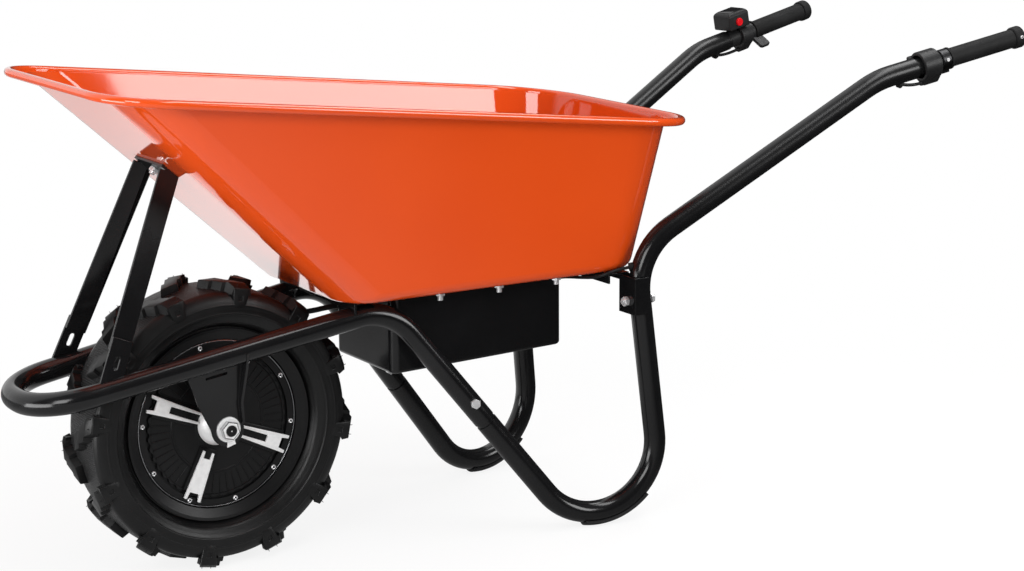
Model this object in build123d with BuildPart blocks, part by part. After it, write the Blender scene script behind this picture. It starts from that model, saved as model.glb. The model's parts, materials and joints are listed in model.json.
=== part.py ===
from build123d import *
import os
from math import cos, radians, sin, sqrt, tan

os.makedirs("parts", exist_ok=True)

# An electric wheelbarrow with a hub motor in its single wheel.
# Millimetres. X runs back to the handles, Y to the user's right and Z up, from the floor
# below the axle. Places along the frame are measured back from the rearmost point of the
# tyre, and its heights are measured up from the axle, so the frame follows the wheel.

# Tyre and rim
tyre_radius = 203
tyre_half_width = 53
tread_depth = 11
tread_half_width = 45
tyre_wall = 7
tyre_crown_drop = 1
tyre_shoulder_drop = 4
tyre_sidewall_inset = 2
tyre_lip_rise = 2
tyre_toe_rise = 3
lug_count = 12
lug_turn = 2
lug_width = 27
lug_base_width = 31
lug_inner_y = 5
lug_shoulder_inset = 14
lug_shoulder_drop = 9
lug_side_length = 22
rim_flange_radius = 137
rim_flange_height = 10
rim_half_width = 36
rim_flange_thickness = 7
rim_edge_width = 4
rim_edge_drop = 1
rim_dish_start = 1.5
rim_dish_step = 2
shell_inner_radius = 107
valve_radius = 2.6
valve_length = 24
valve_angle = 40

# Hub motor
cover_radius = 119.5
cover_face_y = 27
cover_thickness = 6
boss_radius = 30
boss_height = 6
spoke_count = 4
spoke_angle = 68
spoke_width = 22
spoke_inner_radius = 34
spoke_outer_radius = 106
spoke_height = 2
screw_circle_radius = 113.2
screw_count = 10
screw_angle = 101.8
screw_diameter = 6
screw_head_radius = 5
screw_head_height = 4
screw_length = 14
bearing_radius = 20
bearing_width = 12
bearing_wall = 6
stator_half_width = 13
stator_ring = 30
stator_arm_count = 6
stator_arm_width = 14
stator_hub_radius = 22
winding_height = 5
winding_inset = 4
air_gap = 1
magnet_thickness = 7
axle_diameter = 17
axle_thread = 16
axle_end_y = 73.5
axle_cable_depth = 12
spacer_wall = 3
seal_gap = 0.5
axle_nut_across_flats = 24
axle_nut_height = 8
tab_washer_radius = 18
tab_washer_thickness = 2

# Frame tubes: one front loop, and two tubes that are leg and handle in one
tube_diameter = 32
tube_wall = 1.5
loop_front_gap = 58
loop_front_half = 77.5
loop_front_rise = 68.6
loop_corner_radius = 76
loop_bend_back = 30
loop_bend_half = 105
loop_bend_rise = 152
loop_bend_radius = 85
loop_leg_length = 191
loop_tail = 34
joint_neck = 6
joint_collar = 4
spigot_length = 45
foot_back = 469.3
foot_half = 193
foot_vertex_drop = 211
saddle_bend_back = 405.4
saddle_bend_half = 168
saddle_bend_rise = 200.2
saddle_bend_radius = 100
handle_bend_back = 806.5
handle_bend_half = 226.7
handle_bend_rise = 429.3
handle_bend_radius = 150
grip_end_back = 1061
grip_end_half = 262
grip_end_rise = 483
handle_tube_end = 66
handle_end_ring = 6
skid_thickness = 4
skid_spread = 45
skid_front_angle = 10
skid_rear_angle = 46
skid_flat_depth = 0.8

# Tray
tray_wall = 1.5
deck_rise = 168.5
floor_front_back = -53
floor_rear_back = 437
floor_half = 150
floor_corner_radius = 62
floor_edge_radius = 20
rim_front_back = -415
rim_front_rise = 487.2
rim_rear_back = 497
rim_rear_rise = 387
rim_front_half = 218
rim_rear_half = 224
rim_front_radius = 80
rim_rear_radius = 105
rim_lip = 12
rim_bead_radius = 6
rim_bead_wall = 1.2
rim_bead_open_from = 95
rim_bead_open_to = 150

# Dropouts that hang the axle below the loop
dropout_thickness = 4
dropout_inner_y = 58
dropout_low_radius = 24
dropout_joggle_rise = 38
dropout_waist_rise = 4
dropout_shoulder_rise = 90
dropout_front_width = 50
dropout_rear_width = 31
dropout_flange_top = 22
dropout_flange_foot = 8
dropout_slot_length = 32
dropout_slot_width = 4
dropout_slot_rise = 85
dropout_slot_ahead = 9

# Front brace from the loop up to the tray
strap_width = 30
strap_thickness = 4
brace_rise = 365
brace_top_half = 43.5
brace_foot_back = 99
brace_foot_half = 81
brace_foot_gap = 40
brace_tab_length = 58
brace_slot_rise = 25
brace_slot_length = 19
brace_slot_width = 7

# Front bridge below the tray
bridge_back = -31
bridge_length = 36
bridge_thickness = 4
bridge_lip = 13
bridge_arch_half = 70
bridge_arch_radius = 10
bridge_bolt_half = 60

# Rear cross member and its two saddles
cross_back = 369
cross_length = 36
cross_thickness = 3
cross_flange = 15
cross_bolt_half = 100
saddle_reach = 22
saddle_height = 55
saddle_top_gap = 3
saddle_side_gap = 1.6
saddle_bolt_rise = 129
saddle_head_gap = 1.2

# Battery box below the tray
box_front_back = 44
box_rear_back = 331.7
box_half_width = 86
box_front_depth = 121
box_rear_depth = 112.9
box_wall = 2
box_corner_radius = 12
box_edge_radius = 5
box_flange = 32
box_bolt_inset = 22
box_bolt_front = 67
box_bolt_step = 98
box_bolt_rows = 3
battery_length = 178
battery_half_width = 78
battery_height = 84
controller_length = 66
controller_half_width = 50
controller_height = 44
box_inner_gap = 9
gland_radius = 9
gland_thickness = 5
gland_edge_radius = 1
control_gland_half = 60
control_gland_depth = 18
motor_gland_half = 62
motor_gland_depth = 46
cable_end_inside = 22

# Bolts
bolt_diameter = 8
bolt_across_flats = 13
bolt_head_height = 5.3
nut_height = 6.5
dome_radius = 9.5
dome_height = 4
dome_edge_radius = 2.8
thread_past_nut = 3
box_thread_past_nut = 7

# Grips and controls, placed by their distance along the bar from the handle bend
bar_diameter = 22.2
bar_wall = 1.6
bar_insert = 18
grip_start = 126
grip_length = 120
grip_radius = 14.5
grip_flange_radius = 17
grip_flange_length = 4
cap_radius = 17
cap_edge_radius = 4
switch_start = 74
switch_length = 30
switch_radius = 23
switch_recess_radius = 18
switch_recess_depth = 8
switch_box_height = 26
switch_box_reach = 32
switch_edge_radius = 3
rocker_height = 20
rocker_length = 12
rocker_proud = 2.5
rocker_edge = 1
rocker_dip = 1
collar_start = 111
collar_length = 14
collar_radius = 16.5
collar_lug_reach = 20
collar_lug_width = 9
collar_slit = 1.5
throttle_ring_start = 90
throttle_ring_length = 24
throttle_ring_radius = 20
throttle_box_start = 62
throttle_box_length = 46
throttle_box_half = 20
throttle_box_low = 18
throttle_box_high = 48
throttle_edge_radius = 4
control_wall = 2.4
window_length = 34
window_half = 14
window_thickness = 1.6
window_ledge = 2
button_radius = 6.5
button_along = 82.6
button_up = 30
button_length = 9
button_proud = 3.6
button_edge_radius = 1
lever_ring_length = 9
lever_ring_radius = 17
lever_reach = 40
lever_length = 22
lever_thickness = 6
lever_pad_gap = 2
lever_edge_radius = 2
lever_drop_angle = 35
cable_boss_radius = 5.5
cable_boss_proud = 2
control_cable_diameter = 5
motor_cable_diameter = 8
cable_hole_diameter = 9
handle_run_drop = 24
handle_run_inside = 5
saddle_run_inside = 2.4
saddle_run_outside = 34.5
saddle_hole_proud = 0.8
grommet_flange = 2
grommet_half_length = 3

# Fits
bolt_clearance = 0.3
thread_clearance = 0.1
running_clearance = 0.1
slide_clearance = 0.25
seat_clearance = 0.05
grommet_clearance = 0.15
side_clearance = 0.4

sides = {"left": -1, "right": 1}
tyre_back = tyre_radius
axle_height = tyre_radius
deck_height = axle_height + deck_rise
tube_radius = tube_diameter / 2
bar_radius = bar_diameter / 2
axle_radius = axle_diameter / 2
bolt_hole_radius = bolt_diameter / 2 + bolt_clearance
nut_bore_radius = bolt_diameter / 2 + thread_clearance
up = Vector(0, 0, 1)
across = Vector(0, 1, 0)
pieces = {}


def frame_point(back, half, rise, side=1):
    return Vector(tyre_back + back, side * half, axle_height + rise)


def square_to(direction, reference):
    return (reference - direction * direction.dot(reference)).normalized()


def hex_bolt(length):
    with BuildPart() as bolt:
        with BuildSketch():
            RegularPolygon(bolt_across_flats / 2, 6, major_radius=False)
        extrude(amount=bolt_head_height)
        Cylinder(bolt_diameter / 2, length, align=(Align.CENTER, Align.CENTER, Align.MAX))
    return bolt.part


def domed_bolt(length):
    with BuildPart() as bolt:
        Cylinder(dome_radius, dome_height, align=(Align.CENTER, Align.CENTER, Align.MIN))
        fillet(bolt.edges().sort_by(Axis.Z)[-1], dome_edge_radius)
        Cylinder(bolt_diameter / 2, length, align=(Align.CENTER, Align.CENTER, Align.MAX))
    return bolt.part


def hex_nut(across_flats, height, bore_radius):
    with BuildPart() as nut:
        with BuildSketch():
            RegularPolygon(across_flats / 2, 6, major_radius=False)
            Circle(bore_radius, mode=Mode.SUBTRACT)
        extrude(amount=-height)
    return nut.part


def placed(shape, planes):
    with BuildPart() as group:
        with Locations(*planes):
            add(shape)
    return group.part


def swept_tube(points, radii, diameter, wall=0):
    with BuildPart() as tube:
        with BuildLine() as path:
            FilletPolyline(*points, radius=radii)
        with BuildSketch(Plane(origin=path.line @ 0, z_dir=path.line % 0)):
            Circle(diameter / 2)
            if wall:
                Circle(diameter / 2 - wall, mode=Mode.SUBTRACT)
        sweep(path=path.line)
    return tube.part


def cable(name, points, diameter):
    runs = [(end - start).length for start, end in zip(points, points[1:])]
    radii = []
    for index in range(1, len(points) - 1):
        turn = (points[index] - points[index - 1]).get_angle(points[index + 1] - points[index])
        shorter_run = min(runs[index - 1], runs[index])
        radii.append(0.45 * shorter_run / tan(radians(turn) / 2))
    print(name, "bend radii", [round(radius) for radius in radii])
    return swept_tube(points, radii, diameter)


# Wheel pieces are revolved about the axle from half profiles drawn as (y, radius)
wheel_axis = Axis((0, 0, axle_height), (0, 1, 0))
tread_radius = tyre_radius - tread_depth
bead_seat_radius = rim_flange_radius - rim_flange_height
bead_half_width = rim_half_width - rim_flange_thickness
cover_inner_y = cover_face_y - cover_thickness
stator_radius = shell_inner_radius - magnet_thickness - air_gap
bearing_inner_y = cover_face_y - bearing_width
spacer_radius = axle_radius + spacer_wall


def wheel_point(y, radius):
    return (y, axle_height + radius)


def wheel_face(y, side):
    return Plane(origin=(0, side * y, axle_height), x_dir=(1, 0, 0), z_dir=(0, side, 0))


def ring(inner_radius, outer_radius, inner_y, outer_y, side):
    with BuildPart() as sleeve:
        with BuildSketch(wheel_face(inner_y, side)):
            Circle(outer_radius)
            Circle(inner_radius, mode=Mode.SUBTRACT)
        extrude(amount=outer_y - inner_y)
    return sleeve.part


def lug_ring(side):
    lug_low = tread_radius - tyre_wall / 2
    lug_side_low = tyre_radius - lug_shoulder_drop - lug_side_length
    step = 360 / lug_count
    first = lug_turn * side - step / 4

    def lug_corner(angle, radius, offset):
        turn = radians(angle)
        return (radius * cos(turn) - offset * sin(turn), radius * sin(turn) + offset * cos(turn))

    with BuildPart() as lugs:
        with BuildSketch(Plane.YZ):
            with BuildLine():
                Polyline(
                    wheel_point(side * lug_inner_y, lug_low),
                    wheel_point(side * lug_inner_y, tyre_radius),
                    wheel_point(side * (tyre_half_width - lug_shoulder_inset), tyre_radius),
                    wheel_point(side * tyre_half_width, tyre_radius - lug_shoulder_drop),
                    wheel_point(side * tyre_half_width, lug_side_low),
                    wheel_point(side * (tyre_half_width - tyre_wall), lug_side_low),
                    wheel_point(side * (tread_half_width - tyre_wall / 2), lug_low - tyre_wall / 2),
                    close=True,
                )
            make_face()
        revolve(axis=wheel_axis)
        with BuildSketch(wheel_face(0, side)):
            for index in range(lug_count):
                here = first + index * step
                Polygon(
                    lug_corner(here, tyre_radius + tread_depth, lug_width / 2),
                    lug_corner(here, lug_side_low - tyre_wall, lug_base_width / 2),
                    lug_corner(here + step, lug_side_low - tyre_wall, -lug_base_width / 2),
                    lug_corner(here + step, tyre_radius + tread_depth, -lug_width / 2),
                    align=None,
                )
        extrude(amount=tyre_half_width + tyre_wall, mode=Mode.SUBTRACT)
    return lugs.part


with BuildPart() as tyre:
    sidewall_y = tyre_half_width - tyre_sidewall_inset
    shoulder_radius = tread_radius - tyre_shoulder_drop
    inner_shoulder_radius = shoulder_radius - tyre_wall
    lip_radius = rim_flange_radius + tyre_lip_rise
    toe_radius = rim_flange_radius + tyre_toe_rise
    inner_tread = tread_radius - tyre_wall
    toe_y = bead_half_width - tyre_wall
    heel_radius = bead_seat_radius + seat_clearance
    with BuildSketch(Plane.YZ):
        with BuildLine():
            shoulder = wheel_point(tread_half_width, shoulder_radius)
            lip = wheel_point(bead_half_width, lip_radius)
            inner_shoulder = wheel_point(tread_half_width - tyre_wall, inner_shoulder_radius)
            inner_lip = wheel_point(toe_y, toe_radius)
            ThreePointArc(
                wheel_point(0, tread_radius),
                wheel_point(tread_half_width / 2, tread_radius - tyre_crown_drop),
                shoulder,
            )
            ThreePointArc(
                shoulder, wheel_point(sidewall_y, (shoulder_radius + lip_radius) / 2), lip
            )
            Polyline(
                lip,
                wheel_point(bead_half_width - seat_clearance, heel_radius),
                wheel_point(toe_y, heel_radius),
                inner_lip,
            )
            ThreePointArc(
                inner_lip,
                wheel_point(sidewall_y - tyre_wall, (inner_shoulder_radius + toe_radius) / 2),
                inner_shoulder,
            )
            ThreePointArc(
                inner_shoulder,
                wheel_point((tread_half_width - tyre_wall) / 2, inner_tread - tyre_crown_drop),
                wheel_point(0, inner_tread),
            )
            Line(wheel_point(0, inner_tread), wheel_point(0, tread_radius))
        make_face()
        mirror(about=Plane.YZ)
    revolve(axis=wheel_axis)
    for side in sides.values():
        add(lug_ring(side))
pieces["tyre"] = tyre.part

valve_circle_radius = (cover_radius + bead_seat_radius) / 2
valve_plane = Plane(
    origin=(
        valve_circle_radius * cos(radians(valve_angle)),
        cover_inner_y,
        axle_height + valve_circle_radius * sin(radians(valve_angle)),
    ),
    z_dir=(0, 1, 0),
)
with BuildPart() as motor_shell:
    with BuildSketch(Plane.YZ):
        with BuildLine():
            Polyline(
                wheel_point(0, shell_inner_radius),
                wheel_point(cover_inner_y, shell_inner_radius),
                wheel_point(cover_inner_y, cover_radius + seat_clearance),
                wheel_point(cover_face_y + rim_dish_step, cover_radius + rim_dish_start),
                wheel_point(rim_half_width - rim_edge_drop, rim_flange_radius - rim_edge_width),
                wheel_point(rim_half_width, rim_flange_radius),
                wheel_point(bead_half_width, rim_flange_radius),
                wheel_point(bead_half_width, bead_seat_radius),
                wheel_point(0, bead_seat_radius),
                close=True,
            )
        make_face()
        mirror(about=Plane.YZ)
    revolve(axis=wheel_axis)
    with Locations(valve_plane):
        Cylinder(valve_radius + seat_clearance, valve_length, mode=Mode.SUBTRACT)
    for side in sides.values():
        with BuildSketch(wheel_face(cover_inner_y, side)):
            with PolarLocations(screw_circle_radius, screw_count, screw_angle):
                Circle(screw_diameter / 2 + thread_clearance)
        extrude(amount=-screw_length, mode=Mode.SUBTRACT)
pieces["motor_shell"] = motor_shell.part

with BuildPart() as valve_stem:
    with Locations(valve_plane):
        Cylinder(valve_radius, valve_length, align=(Align.CENTER, Align.CENTER, Align.MIN))
pieces["valve_stem"] = valve_stem.part

for name, side in sides.items():
    with BuildPart() as motor_cover:
        seal_radius = spacer_radius + seal_gap
        bearing_seat = bearing_radius + seat_clearance
        hub_radius = bearing_radius + bearing_wall
        with BuildSketch(Plane.YZ):
            with BuildLine():
                Polyline(
                    wheel_point(side * cover_inner_y, cover_radius),
                    wheel_point(side * cover_inner_y, hub_radius),
                    wheel_point(side * bearing_inner_y, hub_radius),
                    wheel_point(side * bearing_inner_y, bearing_seat),
                    wheel_point(side * cover_face_y, bearing_seat),
                    wheel_point(side * cover_face_y, seal_radius),
                    wheel_point(side * (cover_face_y + boss_height), seal_radius),
                    wheel_point(side * (cover_face_y + boss_height), boss_radius),
                    wheel_point(side * cover_face_y, boss_radius),
                    wheel_point(side * cover_face_y, cover_radius),
                    close=True,
                )
            make_face()
        revolve(axis=wheel_axis)
        with BuildSketch(wheel_face(cover_face_y, side)):
            spoke_middle = (spoke_inner_radius + spoke_outer_radius) / 2
            with PolarLocations(spoke_middle, spoke_count, spoke_angle):
                RectangleRounded(spoke_outer_radius - spoke_inner_radius, spoke_width, spoke_width / 4)
        extrude(amount=spoke_height)
        with BuildSketch(wheel_face(cover_face_y, side)):
            with PolarLocations(screw_circle_radius, screw_count, screw_angle):
                Circle(screw_diameter / 2 + bolt_clearance)
        extrude(amount=-cover_thickness, mode=Mode.SUBTRACT)
    pieces["motor_cover_" + name] = motor_cover.part

with BuildPart() as cover_screws:
    for side in sides.values():
        with BuildSketch(wheel_face(cover_face_y, side)):
            with PolarLocations(screw_circle_radius, screw_count, screw_angle):
                Circle(screw_head_radius)
        extrude(amount=screw_head_height)
        with BuildSketch(wheel_face(cover_face_y, side)):
            with PolarLocations(screw_circle_radius, screw_count, screw_angle):
                Circle(screw_diameter / 2)
        extrude(amount=-screw_length)
pieces["cover_screws"] = cover_screws.part

with BuildPart() as magnet_ring:
    add(
        ring(
            shell_inner_radius - magnet_thickness,
            shell_inner_radius - seat_clearance,
            -stator_half_width,
            stator_half_width,
            1,
        )
    )
pieces["magnet_ring"] = magnet_ring.part

with BuildPart() as wheel_bearings:
    for side in sides.values():
        add(
            ring(
                axle_radius + running_clearance, bearing_radius, bearing_inner_y, cover_face_y, side
            )
        )
pieces["wheel_bearings"] = wheel_bearings.part

# Still pieces inside the hub, and what clamps the axle
with BuildPart() as stator_core:
    with BuildSketch(wheel_face(-stator_half_width, 1)):
        Circle(stator_radius)
        Circle(stator_radius - stator_ring, mode=Mode.SUBTRACT)
        with PolarLocations(stator_radius / 2, stator_arm_count):
            Rectangle(stator_radius - stator_ring / 2, stator_arm_width)
        Circle(stator_hub_radius)
        Circle(axle_radius + seat_clearance, mode=Mode.SUBTRACT)
    extrude(amount=2 * stator_half_width)
pieces["stator_core"] = stator_core.part

with BuildPart() as stator_windings:
    for side in sides.values():
        add(
            ring(
                stator_radius - stator_ring + winding_inset,
                stator_radius - winding_inset,
                stator_half_width,
                stator_half_width + winding_height,
                side,
            )
        )
pieces["stator_windings"] = stator_windings.part

dropout_outer_y = dropout_inner_y + dropout_thickness
washer_outer_y = dropout_outer_y + tab_washer_thickness
with BuildPart() as axle:
    with BuildSketch(wheel_face(-dropout_inner_y, 1)):
        Circle(axle_radius)
    extrude(amount=2 * dropout_inner_y)
    for side in sides.values():
        with BuildSketch(wheel_face(dropout_inner_y, side)):
            Circle(axle_thread / 2)
        extrude(amount=axle_end_y - dropout_inner_y)
    with BuildSketch(wheel_face(axle_end_y, 1)):
        Circle(motor_cable_diameter / 2 + seat_clearance)
    extrude(amount=-axle_cable_depth, mode=Mode.SUBTRACT)
pieces["axle"] = axle.part

with BuildPart() as axle_spacers:
    for side in sides.values():
        add(
            ring(
                axle_radius + seat_clearance,
                spacer_radius,
                cover_face_y + side_clearance,
                dropout_inner_y,
                side,
            )
        )
pieces["axle_spacers"] = axle_spacers.part

with BuildPart() as tab_washers:
    for side in sides.values():
        add(
            ring(
                axle_thread / 2 + thread_clearance,
                tab_washer_radius,
                dropout_outer_y,
                washer_outer_y,
                side,
            )
        )
pieces["tab_washers"] = tab_washers.part

axle_nut = hex_nut(axle_nut_across_flats, axle_nut_height, axle_thread / 2 + thread_clearance)
pieces["axle_nuts"] = placed(
    axle_nut, [wheel_face(washer_outer_y + axle_nut_height, side) for side in sides.values()]
)

# Front loop: up from each leg joint, forward past the wheel and round its front
loop_front_x = -(tyre_radius + loop_front_gap + tube_radius)
loop_front_z = axle_height + loop_front_rise


def loop_front(side):
    return Vector(loop_front_x, side * loop_front_half, loop_front_z)


def loop_bend(side):
    return frame_point(loop_bend_back, loop_bend_half, loop_bend_rise, side)


def loop_arm_at(x, side):
    front, bend = loop_front(side), loop_bend(side)
    return front + (bend - front) * ((x - front.X) / (bend.X - front.X))


def arm_direction(side):
    return (loop_bend(side) - loop_front(side)).normalized()


def foot_vertex(side):
    return Vector(tyre_back + foot_back, side * foot_half, -foot_vertex_drop)


def leg_direction(side):
    return (foot_vertex(side) - loop_bend(side)).normalized()


def leg_joint(side):
    return loop_bend(side) + leg_direction(side) * loop_leg_length


def leg_bolt_plane(side):
    outward = square_to(leg_direction(side), across * side)
    return Plane(origin=leg_joint(side) + outward * tube_radius, z_dir=outward)


def cut_arm_tubes():
    for side in sides.values():
        middle = (loop_front(side) + loop_bend(side)) * 0.5
        reach = (loop_bend(side) - loop_front(side)).length
        with Locations(Plane(origin=middle, z_dir=arm_direction(side))):
            Cylinder(tube_radius + seat_clearance, reach, mode=Mode.SUBTRACT)


with BuildPart() as front_loop:
    loop_points = [leg_joint(-1) + leg_direction(-1) * loop_tail, loop_bend(-1), loop_front(-1)]
    loop_points += [loop_front(1), loop_bend(1), leg_joint(1) + leg_direction(1) * loop_tail]
    loop_radii = [loop_bend_radius, loop_corner_radius, loop_corner_radius, loop_bend_radius]
    add(swept_tube(loop_points, loop_radii, tube_diameter, tube_wall))
    with Locations(*[leg_bolt_plane(side) for side in sides.values()]):
        Cylinder(bolt_hole_radius, 3 * tube_diameter, mode=Mode.SUBTRACT)
pieces["front_loop"] = front_loop.part


# Leg and handle tubes
def saddle_vertex(side):
    return frame_point(saddle_bend_back, saddle_bend_half, saddle_bend_rise, side)


def handle_vertex(side):
    return frame_point(handle_bend_back, handle_bend_half, handle_bend_rise, side)


def bar_direction(side):
    grip_end = frame_point(grip_end_back, grip_end_half, grip_end_rise, side)
    return (grip_end - handle_vertex(side)).normalized()


def bar_up(side):
    return square_to(bar_direction(side), up)


def bar_plane(side, along):
    origin = handle_vertex(side) + bar_direction(side) * along
    return Plane(origin=origin, x_dir=bar_up(side), z_dir=bar_direction(side))


def bar_point(side, along, rise, inboard=0):
    return bar_plane(side, along).from_local_coords(Vector(rise, side * inboard, 0))


def rear_leg_at(z, side):
    low, high = foot_vertex(side), saddle_vertex(side)
    return low + (high - low) * ((z - low.Z) / (high.Z - low.Z))


def foot_bend(side):
    towards_loop = -leg_direction(side)
    towards_saddle = (saddle_vertex(side) - foot_vertex(side)).normalized()
    middle = (towards_loop + towards_saddle).normalized()
    half_angle = radians(towards_loop.get_angle(towards_saddle) / 2)
    normal = towards_loop.cross(towards_saddle).normalized()
    lowest_centre = tube_radius + skid_thickness - skid_flat_depth
    fall = sqrt(1 - normal.Z**2)
    radius = (lowest_centre + foot_vertex_drop) / (middle.Z / sin(half_angle) - fall)
    centre = foot_vertex(side) + middle * (radius / sin(half_angle))
    return centre, radius, normal


def saddle_bolt_plane(side):
    middle = rear_leg_at(axle_height + saddle_bolt_rise, side)
    return Plane(origin=middle + Vector(tube_radius + saddle_head_gap, 0, 0), z_dir=(1, 0, 0))


box_rear_x = tyre_back + box_rear_back
control_gland_z = deck_height - control_gland_depth


def control_route(side, start_along, drop):
    saddle = saddle_vertex(side)
    handle = (handle_vertex(side) - saddle).normalized()
    gland_y = side * control_gland_half

    def from_saddle(back, inboard, rise):
        return saddle + Vector(back, -side * inboard, rise)

    return [
        bar_point(side, start_along - side_clearance, -drop),
        bar_point(side, 50, -handle_run_drop),
        bar_point(side, 20, -handle_run_inside),
        handle_vertex(side) - handle * 60,
        saddle + handle * 80,
        from_saddle(24, -3, -3),
        from_saddle(10, -2, -20),
        from_saddle(-22, 12, -26),
        from_saddle(-44, 14, -31.5),
        from_saddle(-49, 36, -39),
        from_saddle(-53, 62, -43),
        from_saddle(-58, 88, -46),
        Vector(box_rear_x + 14, gland_y, control_gland_z),
        Vector(box_rear_x - cable_end_inside, gland_y, control_gland_z),
    ]


# The runs of the route that pass through the tube's wall, and how far along each it does,
# from how far their two ends lie off the tube's centreline
handle_hole_run = (1, 2)
handle_hole_share = (handle_run_drop - tube_radius) / (handle_run_drop - handle_run_inside)
saddle_hole_run = (6, 7)
saddle_hole_share = (tube_radius + saddle_hole_proud - saddle_run_inside) / (
    saddle_run_outside - saddle_run_inside
)


def hole_plane(route, run, share):
    start, end = route[run[0]], route[run[1]]
    return Plane(origin=start + (end - start) * share, z_dir=end - start)


switch_boss_drop = switch_radius + cable_boss_proud
throttle_boss_drop = throttle_ring_radius + cable_boss_proud
routes = {
    "left": control_route(sides["left"], switch_start, switch_boss_drop),
    "right": control_route(sides["right"], throttle_ring_start, throttle_boss_drop),
}
spigot_radius = tube_radius - tube_wall - seat_clearance
leg_tubes = {}
for name, side in sides.items():
    with BuildPart() as leg_handle:
        leg_start = leg_joint(side) + leg_direction(side) * (loop_tail + joint_neck)
        foot_centre, foot_radius, foot_normal = foot_bend(side)
        leg_points = [leg_start, foot_vertex(side), saddle_vertex(side), handle_vertex(side)]
        leg_points.append(bar_plane(side, handle_tube_end).origin)
        leg_radii = [foot_radius, saddle_bend_radius, handle_bend_radius]
        add(swept_tube(leg_points, leg_radii, tube_diameter, tube_wall))
        with Locations(Plane(origin=leg_start, z_dir=leg_direction(side))):
            Cylinder(tube_radius, joint_collar, align=(Align.CENTER, Align.CENTER, Align.MIN))
            Cylinder(
                spigot_radius,
                loop_tail + joint_neck + spigot_length,
                align=(Align.CENTER, Align.CENTER, Align.MAX),
            )
            Cylinder(
                spigot_radius - tube_wall,
                2 * (loop_tail + joint_neck + spigot_length),
                mode=Mode.SUBTRACT,
            )
        with BuildSketch(bar_plane(side, handle_tube_end)):
            Circle(tube_radius)
            Circle(bar_radius + seat_clearance, mode=Mode.SUBTRACT)
        extrude(amount=-handle_end_ring)
        with Locations(leg_bolt_plane(side), saddle_bolt_plane(side)):
            Cylinder(bolt_hole_radius, 3 * tube_diameter, mode=Mode.SUBTRACT)
        with Locations(
            hole_plane(routes[name], handle_hole_run, handle_hole_share),
            hole_plane(routes[name], saddle_hole_run, saddle_hole_share),
        ):
            Cylinder(cable_hole_diameter / 2, tube_radius, mode=Mode.SUBTRACT)
    leg_tubes[name] = leg_handle.part
    pieces["leg_handle_" + name] = leg_handle.part

joint_bolt_length = tube_diameter + nut_height + thread_past_nut
pieces["leg_joint_bolts"] = placed(
    hex_bolt(joint_bolt_length), [leg_bolt_plane(side) for side in sides.values()]
)
pieces["leg_joint_nuts"] = placed(
    hex_nut(bolt_across_flats, nut_height, nut_bore_radius),
    [leg_bolt_plane(side).offset(-tube_diameter) for side in sides.values()],
)

with BuildPart() as foot_skids:
    for side in sides.values():
        centre, bend_radius, normal = foot_bend(side)
        lowest = square_to(normal, -up)
        start = lowest.rotate(Axis((0, 0, 0), normal), -skid_front_angle)
        if start.X > lowest.X:
            normal = -normal
            start = lowest.rotate(Axis((0, 0, 0), normal), -skid_front_angle)
        skid_plane = Plane(origin=centre, x_dir=start, z_dir=start.cross(normal))
        inner = tube_radius + seat_clearance
        outer = tube_radius + skid_thickness
        edge_cos, edge_sin = cos(radians(skid_spread)), sin(radians(skid_spread))
        with BuildSketch(skid_plane):
            with BuildLine():
                inner_low = (bend_radius + inner * edge_cos, -inner * edge_sin)
                inner_high = (bend_radius + inner * edge_cos, inner * edge_sin)
                outer_low = (bend_radius + outer * edge_cos, -outer * edge_sin)
                outer_high = (bend_radius + outer * edge_cos, outer * edge_sin)
                ThreePointArc(inner_low, (bend_radius + inner, 0), inner_high)
                Line(inner_high, outer_high)
                ThreePointArc(outer_high, (bend_radius + outer, 0), outer_low)
                Line(outer_low, inner_low)
            make_face()
        revolve(axis=Axis(centre, normal), revolution_arc=skid_front_angle + skid_rear_angle)
        with Locations((centre.X, centre.Y, 0)):
            Box(
                4 * bend_radius,
                4 * tube_diameter,
                2 * skid_thickness,
                align=(Align.CENTER, Align.CENTER, Align.MAX),
                mode=Mode.SUBTRACT,
            )
pieces["foot_skids"] = foot_skids.part

# Tray
rim_front_point = frame_point(rim_front_back, 0, rim_front_rise)
rim_rear_point = frame_point(rim_rear_back, 0, rim_rear_rise)
rim_line = rim_rear_point - rim_front_point
rim_plane = Plane(origin=rim_front_point, x_dir=rim_line, z_dir=rim_line.cross(across))
floor_front_x = tyre_back + floor_front_back
floor_rear_x = tyre_back + floor_rear_back
bead_inset = rim_bead_radius - tray_wall


def rim_outline(inset, corner_inset):
    front, rear = rim_front_half - inset, rim_rear_half - inset
    far_end = rim_line.length - inset
    front_radius, rear_radius = rim_front_radius - corner_inset, rim_rear_radius - corner_inset
    FilletPolyline(
        (inset, -front),
        (far_end, -rear),
        (far_end, rear),
        (inset, front),
        radius=[front_radius, rear_radius, rear_radius, front_radius],
        close=True,
    )


def floor_outline(inset):
    half = floor_half - inset
    FilletPolyline(
        (floor_front_x + inset, -half),
        (floor_rear_x - inset, -half),
        (floor_rear_x - inset, half),
        (floor_front_x + inset, half),
        radius=floor_corner_radius - inset,
        close=True,
    )


def tray_form(inset):
    with BuildPart() as form:
        with BuildSketch(Plane.XY.offset(deck_height + inset)):
            with BuildLine():
                floor_outline(inset)
            make_face()
        with BuildSketch(rim_plane):
            with BuildLine():
                rim_outline(bead_inset + rim_lip + inset, inset)
            make_face()
        loft(ruled=True)
        fillet(form.edges().group_by(Axis.Z)[0], floor_edge_radius - inset)
    return form.part


def box_bolt_places():
    first_x = tyre_back + box_front_back + box_bolt_front
    half = box_half_width + box_bolt_inset
    xs = [first_x + index * box_bolt_step for index in range(box_bolt_rows)]
    return [(x, side * half) for x in xs for side in sides.values()]


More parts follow.
